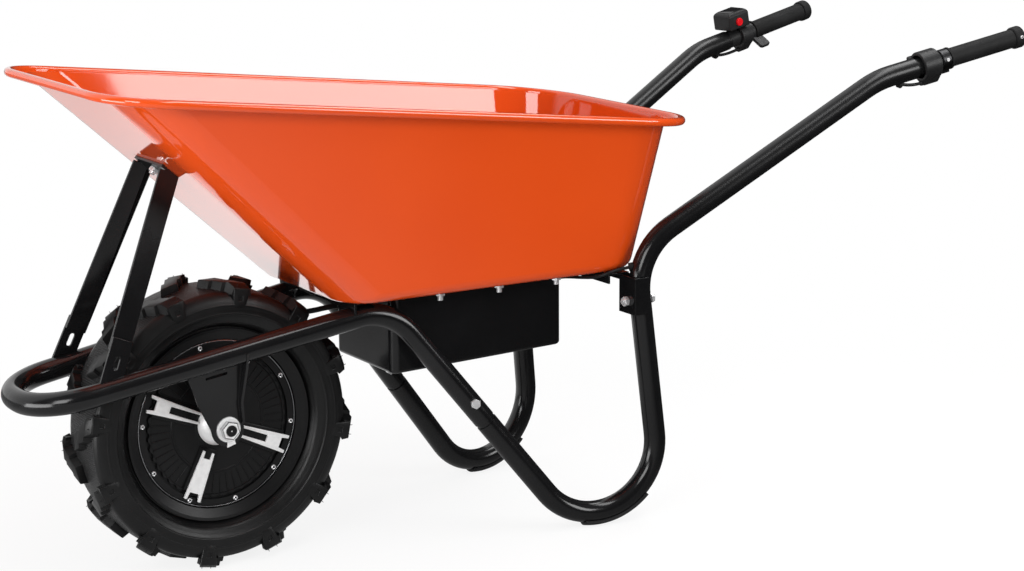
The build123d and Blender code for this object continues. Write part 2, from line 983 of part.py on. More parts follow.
bridge_x = tyre_back + bridge_back
cross_x = tyre_back + cross_back
bridge_bolt_x = bridge_x + bridge_length * 0.6
cross_bolt_x = cross_x + cross_length / 2
bridge_bolt_places = [(bridge_bolt_x, side * bridge_bolt_half) for side in sides.values()]
cross_bolt_places = [(cross_bolt_x, side * cross_bolt_half) for side in sides.values()]

floor_front_point = Vector(floor_front_x, 0, deck_height)
wall_top_point = rim_plane.from_local_coords(Vector(bead_inset + rim_lip, 0, 0))
wall_slope = (wall_top_point - floor_front_point).normalized()
wall_normal = wall_slope.cross(across)
if wall_normal.X > 0:
    wall_normal = -wall_normal
brace_share = (axle_height + brace_rise - deck_height) / wall_slope.Z
brace_point = floor_front_point + wall_slope * brace_share
brace_plane = Plane(origin=brace_point, x_dir=wall_slope, z_dir=wall_normal)

with BuildPart() as tray:
    add(tray_form(0))
    add(tray_form(tray_wall), mode=Mode.SUBTRACT)
    with BuildSketch(rim_plane):
        with BuildLine():
            rim_outline(bead_inset, bead_inset)
        make_face()
        with BuildLine():
            rim_outline(bead_inset + rim_lip + tray_wall, tray_wall)
        make_face(mode=Mode.SUBTRACT)
    extrude(amount=-tray_wall)
    with BuildLine(rim_plane) as bead_path:
        rim_outline(0, 0)
    bead_start = bead_path.line @ 0
    bead_tangent = bead_path.line % 0
    bead_outward = bead_tangent.cross(rim_plane.z_dir)
    bead_plane = Plane(origin=bead_start, x_dir=bead_outward, z_dir=bead_tangent)
    with BuildSketch(bead_plane):
        Circle(rim_bead_radius)
        Circle(rim_bead_radius - rim_bead_wall, mode=Mode.SUBTRACT)
        wedge = [(0, 0)]
        for angle in (rim_bead_open_from, rim_bead_open_to):
            turn = radians(angle)
            wedge.append((2 * rim_bead_radius * cos(turn), 2 * rim_bead_radius * sin(turn)))
        Polygon(*wedge, align=None, mode=Mode.SUBTRACT)
    sweep(path=bead_path.line)
    with Locations(*[(x, y, deck_height) for x, y in bridge_bolt_places + cross_bolt_places]):
        Cylinder(bolt_hole_radius, 6 * tray_wall, mode=Mode.SUBTRACT)
    with Locations(*[(x, y, deck_height) for x, y in box_bolt_places()]):
        Cylinder(bolt_hole_radius, 6 * tray_wall, mode=Mode.SUBTRACT)
    with Locations(brace_plane):
        Cylinder(bolt_hole_radius, 6 * tray_wall, mode=Mode.SUBTRACT)
pieces["tray"] = tray.part


def floor_bolts(name, places, plate, past_nut):
    bolt = domed_bolt(tray_wall + plate + nut_height + past_nut)
    nut = hex_nut(bolt_across_flats, nut_height, nut_bore_radius)
    head_z, nut_z = deck_height + tray_wall, deck_height - plate
    pieces[name + "_bolts"] = placed(bolt, [Plane(origin=(x, y, head_z)) for x, y in places])
    pieces[name + "_nuts"] = placed(nut, [Plane(origin=(x, y, nut_z)) for x, y in places])


# Front bridge between the loop's arms and the tray floor
with BuildPart() as front_bridge:
    arm_at_bridge = loop_arm_at(bridge_x, 1)
    bridge_half = arm_at_bridge.Y + tube_radius * 0.9
    with Locations((bridge_x + bridge_length / 2, 0, deck_height - bridge_thickness / 2)):
        Box(bridge_length, 2 * bridge_half, bridge_thickness)
    lip_height = deck_height - arm_at_bridge.Z
    with BuildSketch(Plane.YZ.offset(bridge_x)):
        with Locations((0, deck_height)):
            Rectangle(2 * bridge_half, lip_height, align=(Align.CENTER, Align.MAX))
        arch_top = deck_height - bridge_lip
        with Locations((0, arch_top)):
            RectangleRounded(
                2 * bridge_arch_half,
                2 * lip_height,
                bridge_arch_radius,
                align=(Align.CENTER, Align.MAX),
                mode=Mode.SUBTRACT,
            )
    extrude(amount=bridge_thickness)
    cut_arm_tubes()
    with Locations(*[(x, y, deck_height) for x, y in bridge_bolt_places]):
        Cylinder(bolt_hole_radius, 3 * bridge_thickness, mode=Mode.SUBTRACT)
pieces["front_bridge"] = front_bridge.part
floor_bolts("bridge", bridge_bolt_places, bridge_thickness, thread_past_nut)

# Rear cross member: a channel below the floor with a saddle round each leg
saddle_top = deck_height - saddle_top_gap
saddle_low = saddle_top - saddle_height
saddle_wall_x = rear_leg_at(saddle_top, 1).X - tube_radius - side_clearance
with BuildPart() as rear_cross_member:
    leg_middle = rear_leg_at((saddle_top + saddle_low) / 2, 1)
    saddle_half = tube_radius + saddle_side_gap
    inner_face = leg_middle.Y - saddle_half
    with Locations((cross_x + cross_length / 2, 0, deck_height)):
        Box(
            cross_length,
            2 * inner_face,
            cross_thickness,
            align=(Align.CENTER, Align.CENTER, Align.MAX),
        )
    for flange_x in (cross_x, cross_x + cross_length - cross_thickness):
        with Locations((flange_x, 0, deck_height)):
            Box(
                cross_thickness,
                2 * inner_face,
                cross_flange,
                align=(Align.MIN, Align.CENTER, Align.MAX),
            )
    for side in sides.values():
        wall_outside = saddle_wall_x - cross_thickness
        with BuildSketch(Plane.XY.offset(saddle_low)):
            with Locations((wall_outside, side * leg_middle.Y)):
                Rectangle(
                    saddle_reach + cross_thickness,
                    2 * (saddle_half + cross_thickness),
                    align=(Align.MIN, Align.CENTER),
                )
            with Locations((saddle_wall_x, side * leg_middle.Y)):
                Rectangle(
                    2 * saddle_reach,
                    2 * saddle_half,
                    align=(Align.MIN, Align.CENTER),
                    mode=Mode.SUBTRACT,
                )
        extrude(amount=saddle_height)
    with Locations(*[saddle_bolt_plane(side) for side in sides.values()]):
        Cylinder(bolt_hole_radius, 4 * tube_diameter, mode=Mode.SUBTRACT)
    with Locations(*[(x, y, deck_height) for x, y in cross_bolt_places]):
        Cylinder(bolt_hole_radius, 3 * cross_thickness, mode=Mode.SUBTRACT)
pieces["rear_cross_member"] = rear_cross_member.part
floor_bolts("cross_member", cross_bolt_places, cross_thickness, thread_past_nut)

saddle_grip = saddle_bolt_plane(1).origin.X - (saddle_wall_x - cross_thickness)
pieces["saddle_bolts"] = placed(
    hex_bolt(saddle_grip + nut_height + thread_past_nut),
    [saddle_bolt_plane(side) for side in sides.values()],
)
pieces["saddle_nuts"] = placed(
    hex_nut(bolt_across_flats, nut_height, nut_bore_radius),
    [saddle_bolt_plane(side).offset(-saddle_grip) for side in sides.values()],
)

# Dropouts: a joggled sheet that hangs square to the loop's arms
dropout_tilt = arm_direction(1)
dropout_up = square_to(Vector(dropout_tilt.X, 0, dropout_tilt.Z).normalized(), up)
dropout_plane = Plane(
    origin=(0, 0, axle_height), x_dir=(dropout_up.Z, 0, -dropout_up.X), z_dir=(0, -1, 0)
)
arm_over_axle = loop_arm_at(0, 1)


def dropout_sheet(side, extra_foot, extra_top):
    # Section across the sheet, drawn as (y, height above the axle) and run along the arm
    top_y, top_rise = arm_over_axle.Y, arm_over_axle.Z - axle_height + tube_radius
    lean = (top_y - dropout_inner_y) / (top_rise - dropout_joggle_rise)
    slant = dropout_thickness * sqrt(1 + lean**2)
    outer_y = dropout_outer_y + extra_foot
    outer_joggle = dropout_joggle_rise - lean * dropout_thickness / 2
    below = 2 * dropout_low_radius
    with BuildPart() as sheet:
        with BuildSketch(Plane(origin=(0, 0, axle_height), x_dir=(0, side, 0), z_dir=(1, 0, 0))):
            with BuildLine():
                Polyline(
                    (dropout_inner_y, -side * below),
                    (dropout_inner_y, side * dropout_joggle_rise),
                    (top_y, side * top_rise),
                    (top_y + slant + extra_top, side * top_rise),
                    (outer_y, side * outer_joggle),
                    (outer_y, -side * below),
                    close=True,
                )
            make_face()
        extrude(amount=2 * dropout_front_width, both=True)
    return sheet.part


for name, side in sides.items():
    reach = 3 * dropout_front_width
    flange_front = dropout_rear_width - dropout_thickness
    with BuildPart() as dropout:
        add(dropout_sheet(side, 0, 0))
        with BuildSketch(dropout_plane):
            with BuildLine():
                FilletPolyline(
                    (-dropout_low_radius, -dropout_low_radius),
                    (dropout_low_radius, -dropout_low_radius),
                    (dropout_low_radius, dropout_waist_rise),
                    (dropout_rear_width, dropout_shoulder_rise),
                    (dropout_rear_width, reach),
                    (-dropout_front_width, reach),
                    (-dropout_front_width, dropout_shoulder_rise),
                    (-dropout_low_radius, dropout_waist_rise),
                    radius=[
                        dropout_low_radius * 0.95,
                        dropout_low_radius * 0.95,
                        dropout_low_radius,
                        dropout_low_radius,
                        0,
                        0,
                        dropout_low_radius,
                        dropout_low_radius,
                    ],
                    close=True,
                )
            make_face()
            Circle(axle_thread / 2 + bolt_clearance, mode=Mode.SUBTRACT)
            with Locations((-dropout_slot_ahead, dropout_slot_rise)):
                SlotOverall(dropout_slot_length, dropout_slot_width, mode=Mode.SUBTRACT)
        extrude(amount=reach, both=True, mode=Mode.INTERSECT)
    with BuildPart() as dropout_fold:
        add(dropout_sheet(side, dropout_flange_foot, dropout_flange_top))
        with BuildSketch(dropout_plane):
            Polygon(
                (dropout_low_radius - dropout_thickness, dropout_waist_rise),
                (dropout_low_radius, dropout_waist_rise),
                (dropout_rear_width, dropout_shoulder_rise),
                (dropout_rear_width, reach),
                (flange_front, reach),
                (flange_front, dropout_shoulder_rise),
                align=None,
            )
        extrude(amount=reach, both=True, mode=Mode.INTERSECT)
    with BuildPart() as hanger:
        add(dropout.part)
        add(dropout_fold.part)
        cut_arm_tubes()
        # What is left above the arm is trimmed off
        with Locations(Plane(origin=loop_arm_at(0, side), z_dir=dropout_up)):
            Box(
                8 * dropout_front_width,
                8 * dropout_front_width,
                4 * tube_diameter,
                align=(Align.CENTER, Align.CENTER, Align.MIN),
                mode=Mode.SUBTRACT,
            )
    pieces["dropout_" + name] = hanger.part

# Front brace: a strap across the tray's front wall with a bar down to each arm
brace_foot_x = loop_front_x + brace_foot_back


def brace_bar(side):
    top = brace_point + wall_normal * (strap_thickness / 2) + across * (side * brace_top_half)
    arm = loop_arm_at(brace_foot_x, side)
    foot = Vector(arm.X, side * brace_foot_half, arm.Z + tube_radius * 0.8)
    down = (foot - top).normalized()
    width = Vector(-down.Z, 0, down.X).normalized()
    return Plane(origin=top, x_dir=width, z_dir=down), (foot - top).length


def out_of_bar(side):
    plane, _ = brace_bar(side)
    return 1 if plane.y_dir.Y * side > 0 else -1


with BuildPart() as front_brace:
    with BuildSketch(brace_plane.offset(seat_clearance)):
        Rectangle(strap_width, 2 * brace_top_half + strap_thickness)
    extrude(amount=strap_thickness)
    for side in sides.values():
        bar_frame, bar_length = brace_bar(side)
        with BuildSketch(bar_frame):
            Rectangle(strap_width, strap_thickness)
        extrude(amount=bar_length - brace_foot_gap)
    with Locations(brace_plane):
        Box(
            4 * strap_width,
            4 * brace_top_half,
            2 * strap_width,
            align=(Align.CENTER, Align.CENTER, Align.MAX),
            mode=Mode.SUBTRACT,
        )
        Cylinder(bolt_hole_radius, 6 * strap_thickness, mode=Mode.SUBTRACT)
pieces["front_brace"] = front_brace.part

with BuildPart() as brace_tabs:
    for side in sides.values():
        bar_frame, bar_length = brace_bar(side)
        shift = out_of_bar(side) * (strap_thickness + seat_clearance)
        with BuildSketch(bar_frame.offset(bar_length - brace_tab_length)):
            with Locations((0, shift)):
                Rectangle(strap_width, strap_thickness)
        extrude(amount=brace_tab_length + tube_radius)
        slot_middle = bar_frame.from_local_coords(Vector(0, shift, bar_length - brace_slot_rise))
        with BuildSketch(Plane(origin=slot_middle, x_dir=bar_frame.z_dir, z_dir=bar_frame.y_dir)):
            SlotOverall(brace_slot_length, brace_slot_width)
        extrude(amount=strap_thickness, both=True, mode=Mode.SUBTRACT)
    cut_arm_tubes()
    for side in sides.values():
        # The tab stops where it meets the tube
        along_arm = arm_direction(side)
        arm = loop_arm_at(brace_foot_x, side)
        with Locations(Plane(origin=arm, x_dir=along_arm, z_dir=square_to(along_arm, up))):
            Box(
                4 * strap_width,
                4 * tube_radius,
                4 * tube_radius,
                align=(Align.CENTER, Align.CENTER, Align.MAX),
                mode=Mode.SUBTRACT,
            )
pieces["brace_tabs"] = brace_tabs.part

brace_grip = seat_clearance + strap_thickness
pieces["brace_bolt"] = placed(
    domed_bolt(tray_wall + brace_grip + nut_height + thread_past_nut),
    [Plane(origin=brace_point - wall_normal * tray_wall, x_dir=wall_slope, z_dir=-wall_normal)],
)
pieces["brace_nut"] = placed(
    hex_nut(bolt_across_flats, nut_height, nut_bore_radius),
    [Plane(origin=brace_point + wall_normal * brace_grip, x_dir=wall_slope, z_dir=-wall_normal)],
)

# Battery box hung below the tray floor
box_front_x = tyre_back + box_front_back
box_middle_x = (box_front_x + box_rear_x) / 2
box_flange_length = box_rear_x - box_front_x - 2 * box_corner_radius
motor_gland_z = deck_height - motor_gland_depth


def box_floor_at(x, above):
    share = (x - box_front_x) / (box_rear_x - box_front_x)
    depth = box_front_depth + (box_rear_depth - box_front_depth) * share
    return deck_height - depth + box_wall + seat_clearance + above


gland_planes = [
    Plane(origin=(box_rear_x, side * control_gland_half, control_gland_z), z_dir=(1, 0, 0))
    for side in sides.values()
]
motor_gland_plane = Plane(origin=(box_front_x, motor_gland_half, motor_gland_z), z_dir=(-1, 0, 0))

with BuildPart() as battery_box:
    with BuildSketch(Plane.XZ.offset(-box_half_width)):
        with BuildLine():
            Polyline(
                (box_front_x, deck_height),
                (box_rear_x, deck_height),
                (box_rear_x, deck_height - box_rear_depth),
                (box_front_x, deck_height - box_front_depth),
                close=True,
            )
        make_face()
    extrude(amount=2 * box_half_width)
    fillet(battery_box.edges().filter_by(Axis.Z), box_corner_radius)
    fillet(battery_box.faces().sort_by(Axis.Z)[0].edges(), box_edge_radius)
    offset(amount=-box_wall, openings=battery_box.faces().sort_by(Axis.Z)[-1])
    for side in sides.values():
        with Locations((box_middle_x, side * (box_half_width - box_wall), deck_height)):
            Box(
                box_flange_length,
                2 * (box_flange + box_wall),
                box_wall,
                align=(Align.CENTER, Align.CENTER, Align.MAX),
            )
    with Locations((box_middle_x, 0, deck_height)):
        Box(
            box_flange_length,
            2 * (box_half_width - box_wall),
            2 * box_wall,
            mode=Mode.SUBTRACT,
        )
    with Locations(*[(x, y, deck_height) for x, y in box_bolt_places()]):
        Cylinder(bolt_hole_radius, 4 * box_wall, mode=Mode.SUBTRACT)
    with Locations(*gland_planes):
        Cylinder(control_cable_diameter / 2 + slide_clearance, 4 * box_wall, mode=Mode.SUBTRACT)
    with Locations(motor_gland_plane):
        Cylinder(motor_cable_diameter / 2 + slide_clearance, 4 * box_wall, mode=Mode.SUBTRACT)
pieces["battery_box"] = battery_box.part
floor_bolts("box", box_bolt_places(), box_wall, box_thread_past_nut)


def box_content(start_x, length, half_width, height):
    end_x = start_x + length
    with BuildPart() as content:
        with BuildSketch(Plane.XZ.offset(-half_width)):
            with BuildLine():
                Polyline(
                    (start_x, box_floor_at(start_x, 0)),
                    (end_x, box_floor_at(end_x, 0)),
                    (end_x, box_floor_at(end_x, height)),
                    (start_x, box_floor_at(start_x, height)),
                    close=True,
                )
            make_face()
        extrude(amount=2 * half_width)
        fillet(content.edges().filter_by(Axis.Z), box_wall)
    return content.part


controller_x = box_front_x + box_wall + box_inner_gap
battery_x = controller_x + controller_length + box_inner_gap
pieces["motor_controller"] = box_content(
    controller_x, controller_length, controller_half_width, controller_height
)
pieces["battery_pack"] = box_content(battery_x, battery_length, battery_half_width, battery_height)


def gland(plane, cable_diameter):
    with BuildPart() as collar:
        with BuildSketch(plane):
            Circle(gland_radius)
            Circle(cable_diameter / 2 + seat_clearance, mode=Mode.SUBTRACT)
        extrude(amount=gland_thickness)
        fillet(collar.edges().filter_by(GeomType.CIRCLE).sort_by(SortBy.RADIUS)[-2:], gland_edge_radius)
    return collar.part


with BuildPart() as cable_glands:
    for plane in gland_planes:
        add(gland(plane, control_cable_diameter))
    add(gland(motor_gland_plane, motor_cable_diameter))
pieces["cable_glands"] = cable_glands.part

# Grip bars, grips and end caps
grip_end_along = (frame_point(grip_end_back, grip_end_half, grip_end_rise) - handle_vertex(1)).length
cap_start = grip_start + grip_length


def bar_ring(side, start, length, inner_radius, outer_radius):
    with BuildPart() as sleeve:
        with BuildSketch(bar_plane(side, start)):
            Circle(outer_radius)
            Circle(inner_radius, mode=Mode.SUBTRACT)
        extrude(amount=length)
    return sleeve.part


for name, side in sides.items():
    bar_start = handle_tube_end - bar_insert
    pieces["grip_bar_" + name] = bar_ring(
        side, bar_start, cap_start - bar_start, bar_radius - bar_wall, bar_radius
    )
    with BuildPart() as grip:
        add(bar_ring(side, grip_start, grip_length, bar_radius + seat_clearance, grip_radius))
        add(
            bar_ring(
                side,
                grip_start,
                grip_flange_length,
                bar_radius + seat_clearance,
                grip_flange_radius,
            )
        )
    pieces["grip_" + name] = grip.part


def end_cap(side):
    with BuildPart() as cap:
        with BuildSketch(bar_plane(side, cap_start)):
            Circle(cap_radius)
        extrude(amount=grip_end_along - cap_start)
        bar_axis = Axis(bar_plane(side, 0).origin, bar_direction(side))
        fillet(cap.edges().filter_by(GeomType.CIRCLE).sort_by(bar_axis)[-1], cap_edge_radius)
    return cap.part


with BuildPart() as grip_end_caps:
    for side in sides.values():
        add(end_cap(side))
pieces["grip_end_caps"] = grip_end_caps.part

# Left control: a ring on the bar with a rocker switch on its inboard side
left, right = sides["left"], sides["right"]
bar_bore = bar_radius + seat_clearance
switch_middle = switch_start + switch_length / 2
rocker_origin = bar_point(left, switch_middle, 0, switch_box_reach)
rocker_outward = (rocker_origin - bar_point(left, switch_middle, 0)).normalized()
rocker_plane = Plane(origin=rocker_origin, x_dir=bar_up(left), z_dir=rocker_outward)
rocker_axis = bar_up(left).cross(rocker_outward)
rocker_side = Plane(origin=rocker_origin, x_dir=bar_up(left), z_dir=rocker_axis)
rocker_arc = rocker_height / 2


def cable_boss(side, start, length, drop):
    with BuildPart() as boss:
        with BuildSketch(Plane(origin=bar_point(side, start, -drop), z_dir=bar_direction(side))):
            Circle(cable_boss_radius)
        extrude(amount=length)
    return boss.part


with BuildPart() as switch_block:
    with BuildSketch(rocker_plane):
        RectangleRounded(switch_box_height, switch_length, switch_edge_radius)
    extrude(amount=-switch_box_reach)

with BuildPart() as switch_housing:
    add(bar_ring(left, switch_start, switch_length, bar_bore, switch_radius))
    add(switch_block.part)
    add(cable_boss(left, switch_start, switch_length, switch_boss_drop))
    with Locations(bar_plane(left, switch_middle)):
        Cylinder(bar_bore, 2 * switch_length, mode=Mode.SUBTRACT)
    with BuildSketch(bar_plane(left, switch_start)):
        Circle(switch_recess_radius)
    extrude(amount=switch_recess_depth, mode=Mode.SUBTRACT)
    with BuildSketch(rocker_plane):
        Rectangle(rocker_height + 2 * slide_clearance, rocker_length + 2 * slide_clearance)
    extrude(amount=-rocker_arc - slide_clearance, mode=Mode.SUBTRACT)
pieces["switch_housing"] = switch_housing.part

# The rocker's round back turns in its pocket about a line along the bar
with BuildPart() as direction_rocker:
    with BuildSketch(rocker_side):
        with BuildLine():
            ThreePointArc((-rocker_arc, 0), (0, -rocker_arc), (rocker_arc, 0))
            Polyline(
                (rocker_arc, 0),
                (rocker_arc - rocker_edge, rocker_proud),
                (0, rocker_proud - rocker_dip),
                (rocker_edge - rocker_arc, rocker_proud),
                (-rocker_arc, 0),
            )
        make_face()
    extrude(amount=rocker_length / 2, both=True)
pieces["direction_rocker"] = direction_rocker.part

with BuildPart() as grip_collar:
    with BuildSketch(bar_plane(left, collar_start)):
        Circle(collar_radius)
        with Locations((-collar_lug_reach, 0)):
            Rectangle(collar_lug_reach, collar_lug_width, align=(Align.MIN, Align.CENTER))
        Circle(bar_bore, mode=Mode.SUBTRACT)
        Rectangle(
            2 * collar_lug_reach, collar_slit, align=(Align.MAX, Align.CENTER), mode=Mode.SUBTRACT
        )
    extrude(amount=collar_length)
pieces["grip_collar"] = grip_collar.part

# Right control: a clamp ring that carries the display box, and a thumb throttle beside it
throttle_box_middle = (throttle_box_low + throttle_box_high) / 2
throttle_box_height = throttle_box_high - throttle_box_low
window_along = throttle_box_start + throttle_box_length / 2
window_plane = Plane(
    origin=bar_point(right, window_along, throttle_box_high),
    x_dir=bar_direction(right),
    z_dir=bar_up(right),
)
button_origin = bar_point(right, button_along, button_up, throttle_box_half)
button_outward = (button_origin - bar_point(right, button_along, button_up)).normalized()
button_plane = Plane(origin=button_origin, x_dir=bar_up(right), z_dir=button_outward)

with BuildPart() as throttle_housing:
    with BuildSketch(bar_plane(right, throttle_box_start)):
        with Locations((throttle_box_middle, 0)):
            RectangleRounded(throttle_box_height, 2 * throttle_box_half, throttle_edge_radius)
    extrude(amount=throttle_box_length)
    add(bar_ring(right, throttle_ring_start, throttle_ring_length, bar_bore, throttle_ring_radius))
    add(cable_boss(right, throttle_ring_start, throttle_ring_length, throttle_boss_drop))
    with Locations(bar_plane(right, window_along)):
        Cylinder(bar_bore, 4 * throttle_box_length, mode=Mode.SUBTRACT)
    with BuildSketch(window_plane):
        Rectangle(window_length + 2 * seat_clearance, 2 * (window_half + seat_clearance))
    extrude(amount=-window_thickness, mode=Mode.SUBTRACT)
    with BuildSketch(window_plane):
        Rectangle(window_length - 2 * window_ledge, 2 * (window_half - window_ledge))
    extrude(amount=control_wall - throttle_box_height, mode=Mode.SUBTRACT)
    with BuildSketch(button_plane):
        Circle(button_radius + slide_clearance)
    extrude(amount=window_half - window_ledge - throttle_box_half, mode=Mode.SUBTRACT)
pieces["throttle_housing"] = throttle_housing.part

with BuildPart() as display_window:
    with BuildSketch(window_plane):
        Rectangle(window_length, 2 * window_half)
    extrude(amount=-window_thickness)
pieces["display_window"] = display_window.part

with BuildPart() as power_button:
    with BuildSketch(button_plane.offset(button_proud)):
        Circle(button_radius)
    extrude(amount=-button_length)
    button_line = Axis(button_origin, button_outward)
    button_rims = power_button.edges().filter_by(GeomType.CIRCLE).sort_by(button_line)
    fillet(button_rims[-1], button_edge_radius)
pieces["power_button"] = power_button.part

lever_start = throttle_ring_start + throttle_ring_length + side_clearance
with BuildPart() as throttle_lever:
    add(
        bar_ring(
            right,
            lever_start,
            lever_ring_length,
            bar_radius + running_clearance,
            lever_ring_radius,
        )
    )
    lever_origin = bar_plane(right, lever_start).origin
    lever_inboard = (bar_point(right, lever_start, 0, 1) - lever_origin).normalized()
    lever_drop = radians(lever_drop_angle)
    lever_reach_line = lever_inboard * cos(lever_drop) - bar_up(right) * sin(lever_drop)
    lever_plane = Plane(origin=lever_origin, x_dir=lever_reach_line, z_dir=bar_direction(right))
    pad_start = grip_flange_radius + lever_pad_gap
    with BuildSketch(lever_plane):
        with Locations((pad_start, 0)):
            RectangleRounded(
                lever_reach - pad_start,
                lever_thickness,
                lever_edge_radius,
                align=(Align.MIN, Align.CENTER),
            )
    extrude(amount=lever_length)
    with BuildSketch(lever_plane):
        with Locations((bar_radius + bar_wall, 0)):
            Rectangle(
                pad_start - bar_radius + lever_edge_radius,
                lever_thickness,
                align=(Align.MIN, Align.CENTER),
            )
    extrude(amount=lever_ring_length)
pieces["throttle_lever"] = throttle_lever.part

# Cables: from each control down inside its handle tube to the box, and from axle to box
pieces["switch_cable"] = cable("switch cable", routes["left"], control_cable_diameter)
pieces["throttle_cable"] = cable("throttle cable", routes["right"], control_cable_diameter)
motor_route = [
    Vector(0, axle_end_y - axle_cable_depth, axle_height),
    Vector(0, axle_end_y + 15, axle_height),
    Vector(6, 103, axle_height + 19),
    Vector(16, 106, axle_height + 49),
    Vector(34, 104, axle_height + 79),
    Vector(62, 97, axle_height + 99),
    Vector(103, 91, axle_height + 108),
    Vector(151, 84, axle_height + 115),
    Vector(box_front_x - 52, motor_gland_half + 3, motor_gland_z - 4),
    Vector(box_front_x - 22, motor_gland_half, motor_gland_z),
    Vector(box_front_x + cable_end_inside, motor_gland_half, motor_gland_z),
]
pieces["motor_cable"] = cable("motor cable", motor_route, motor_cable_diameter)


def grommet(plane, tube):
    with BuildPart() as bush:
        with BuildSketch(plane.offset(-grommet_half_length)):
            Circle(cable_hole_diameter / 2 + grommet_flange)
            Circle(control_cable_diameter / 2 + grommet_clearance, mode=Mode.SUBTRACT)
        extrude(amount=2 * grommet_half_length)
        add(tube, mode=Mode.SUBTRACT)
    return bush.part


with BuildPart() as cable_grommets:
    for name in sides:
        add(grommet(hole_plane(routes[name], handle_hole_run, handle_hole_share), leg_tubes[name]))
        add(grommet(hole_plane(routes[name], saddle_hole_run, saddle_hole_share), leg_tubes[name]))
pieces["cable_grommets"] = cable_grommets.part

# The finished model stands on its lowest point with its middle at the origin
boxes = [piece.bounding_box() for piece in pieces.values()]
middle_x = (min(box.min.X for box in boxes) + max(box.max.X for box in boxes)) / 2
print("axle stands at x", round(-middle_x, 3))
for name, piece in pieces.items():
    finished = Pos(-middle_x, 0, 0) * piece
    finished.label = name
    export_step(finished, f"parts/{name}.step")
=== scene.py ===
import json
from math import asin, atan2, cos, degrees, pi, radians, sin, sqrt
import bmesh
import bpy
from mathutils import Matrix, Vector


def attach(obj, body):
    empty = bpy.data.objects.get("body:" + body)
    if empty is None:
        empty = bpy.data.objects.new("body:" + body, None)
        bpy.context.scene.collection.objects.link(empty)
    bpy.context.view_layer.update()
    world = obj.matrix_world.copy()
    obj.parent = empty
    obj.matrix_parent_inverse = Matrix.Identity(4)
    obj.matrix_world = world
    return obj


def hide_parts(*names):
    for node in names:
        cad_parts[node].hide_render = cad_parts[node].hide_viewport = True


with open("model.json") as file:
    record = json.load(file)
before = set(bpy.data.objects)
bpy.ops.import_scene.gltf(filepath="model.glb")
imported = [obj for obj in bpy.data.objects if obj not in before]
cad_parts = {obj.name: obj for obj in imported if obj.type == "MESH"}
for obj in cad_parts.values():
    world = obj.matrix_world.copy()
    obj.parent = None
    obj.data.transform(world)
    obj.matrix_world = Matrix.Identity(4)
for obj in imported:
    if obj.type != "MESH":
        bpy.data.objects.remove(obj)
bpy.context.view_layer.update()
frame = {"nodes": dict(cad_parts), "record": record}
nodes = frame["nodes"]
scene = bpy.context.scene
scene.view_settings.view_transform = "Standard"
print("frame:", len(nodes), "nodes")

# camera, solved from the photograph
shot = {
    "place": (-1.808752, -2.93078, 1.07983),
    "yaw": 31.8765,
    "down": 12.1711,
    "roll": -0.3227,
    "lens": 82.7532,
    "sensor": 36,
    "reach": 60,
}


def makeCamera(s):
    yaw, down, roll = radians(s["yaw"]), radians(s["down"]), radians(s["roll"])
    ahead = Vector((sin(yaw) * cos(down), cos(yaw) * cos(down), -sin(down)))
    right = Vector((cos(yaw), -sin(yaw), 0))
    up = right.cross(ahead)
    rolledRight = right * cos(roll) + up * sin(roll)
    rolledUp = up * cos(roll) - right * sin(roll)
    turn = Matrix((rolledRight, rolledUp, -ahead)).transposed().to_4x4()
    data = bpy.data.cameras.new("photoCamera")
    data.sensor_fit = "HORIZONTAL"
    data.sensor_width = s["sensor"]
    data.lens = s["lens"]
    data.clip_end = s["reach"]
    camera = bpy.data.objects.new("photoCamera", data)
    camera.matrix_world = Matrix.Translation(s["place"]) @ turn
    scene.collection.objects.link(camera)
    scene.camera = camera


makeCamera(shot)


# shader maths as Python: a Wire is a socket that can be added, multiplied and so on
class Wire:
    def __init__(self, paint, socket):
        self.paint = paint
        self.socket = socket

    def run(self, operation, first, second=0.0):
        return self.paint.add("ShaderNodeMath", {"operation": operation}, [first, second])

    def __add__(self, other):
        return self.run("ADD", self, other)

    __radd__ = __add__

    def __sub__(self, other):
        return self.run("SUBTRACT", self, other)

    def __rsub__(self, other):
        return self.run("SUBTRACT", other, self)

    def __mul__(self, other):
        return self.run("MULTIPLY", self, other)

    __rmul__ = __mul__

    def abs(self):
        return self.run("ABSOLUTE", self)

    def sin(self):
        return self.run("SINE", self)

    def root(self):
        return self.run("SQRT", self)

    def angleWith(self, other):
        return self.run("ARCTAN2", self, other)

    def smooth(self, low, high):
        settings = {"interpolation_type": "SMOOTHSTEP"}
        values = {"Value": self, "From Min": low, "From Max": high}
        return self.paint.add("ShaderNodeMapRange", settings, values)


mixSockets = {"first": 6, "second": 7, "out": 2}  # places of the Mix node's colour sockets


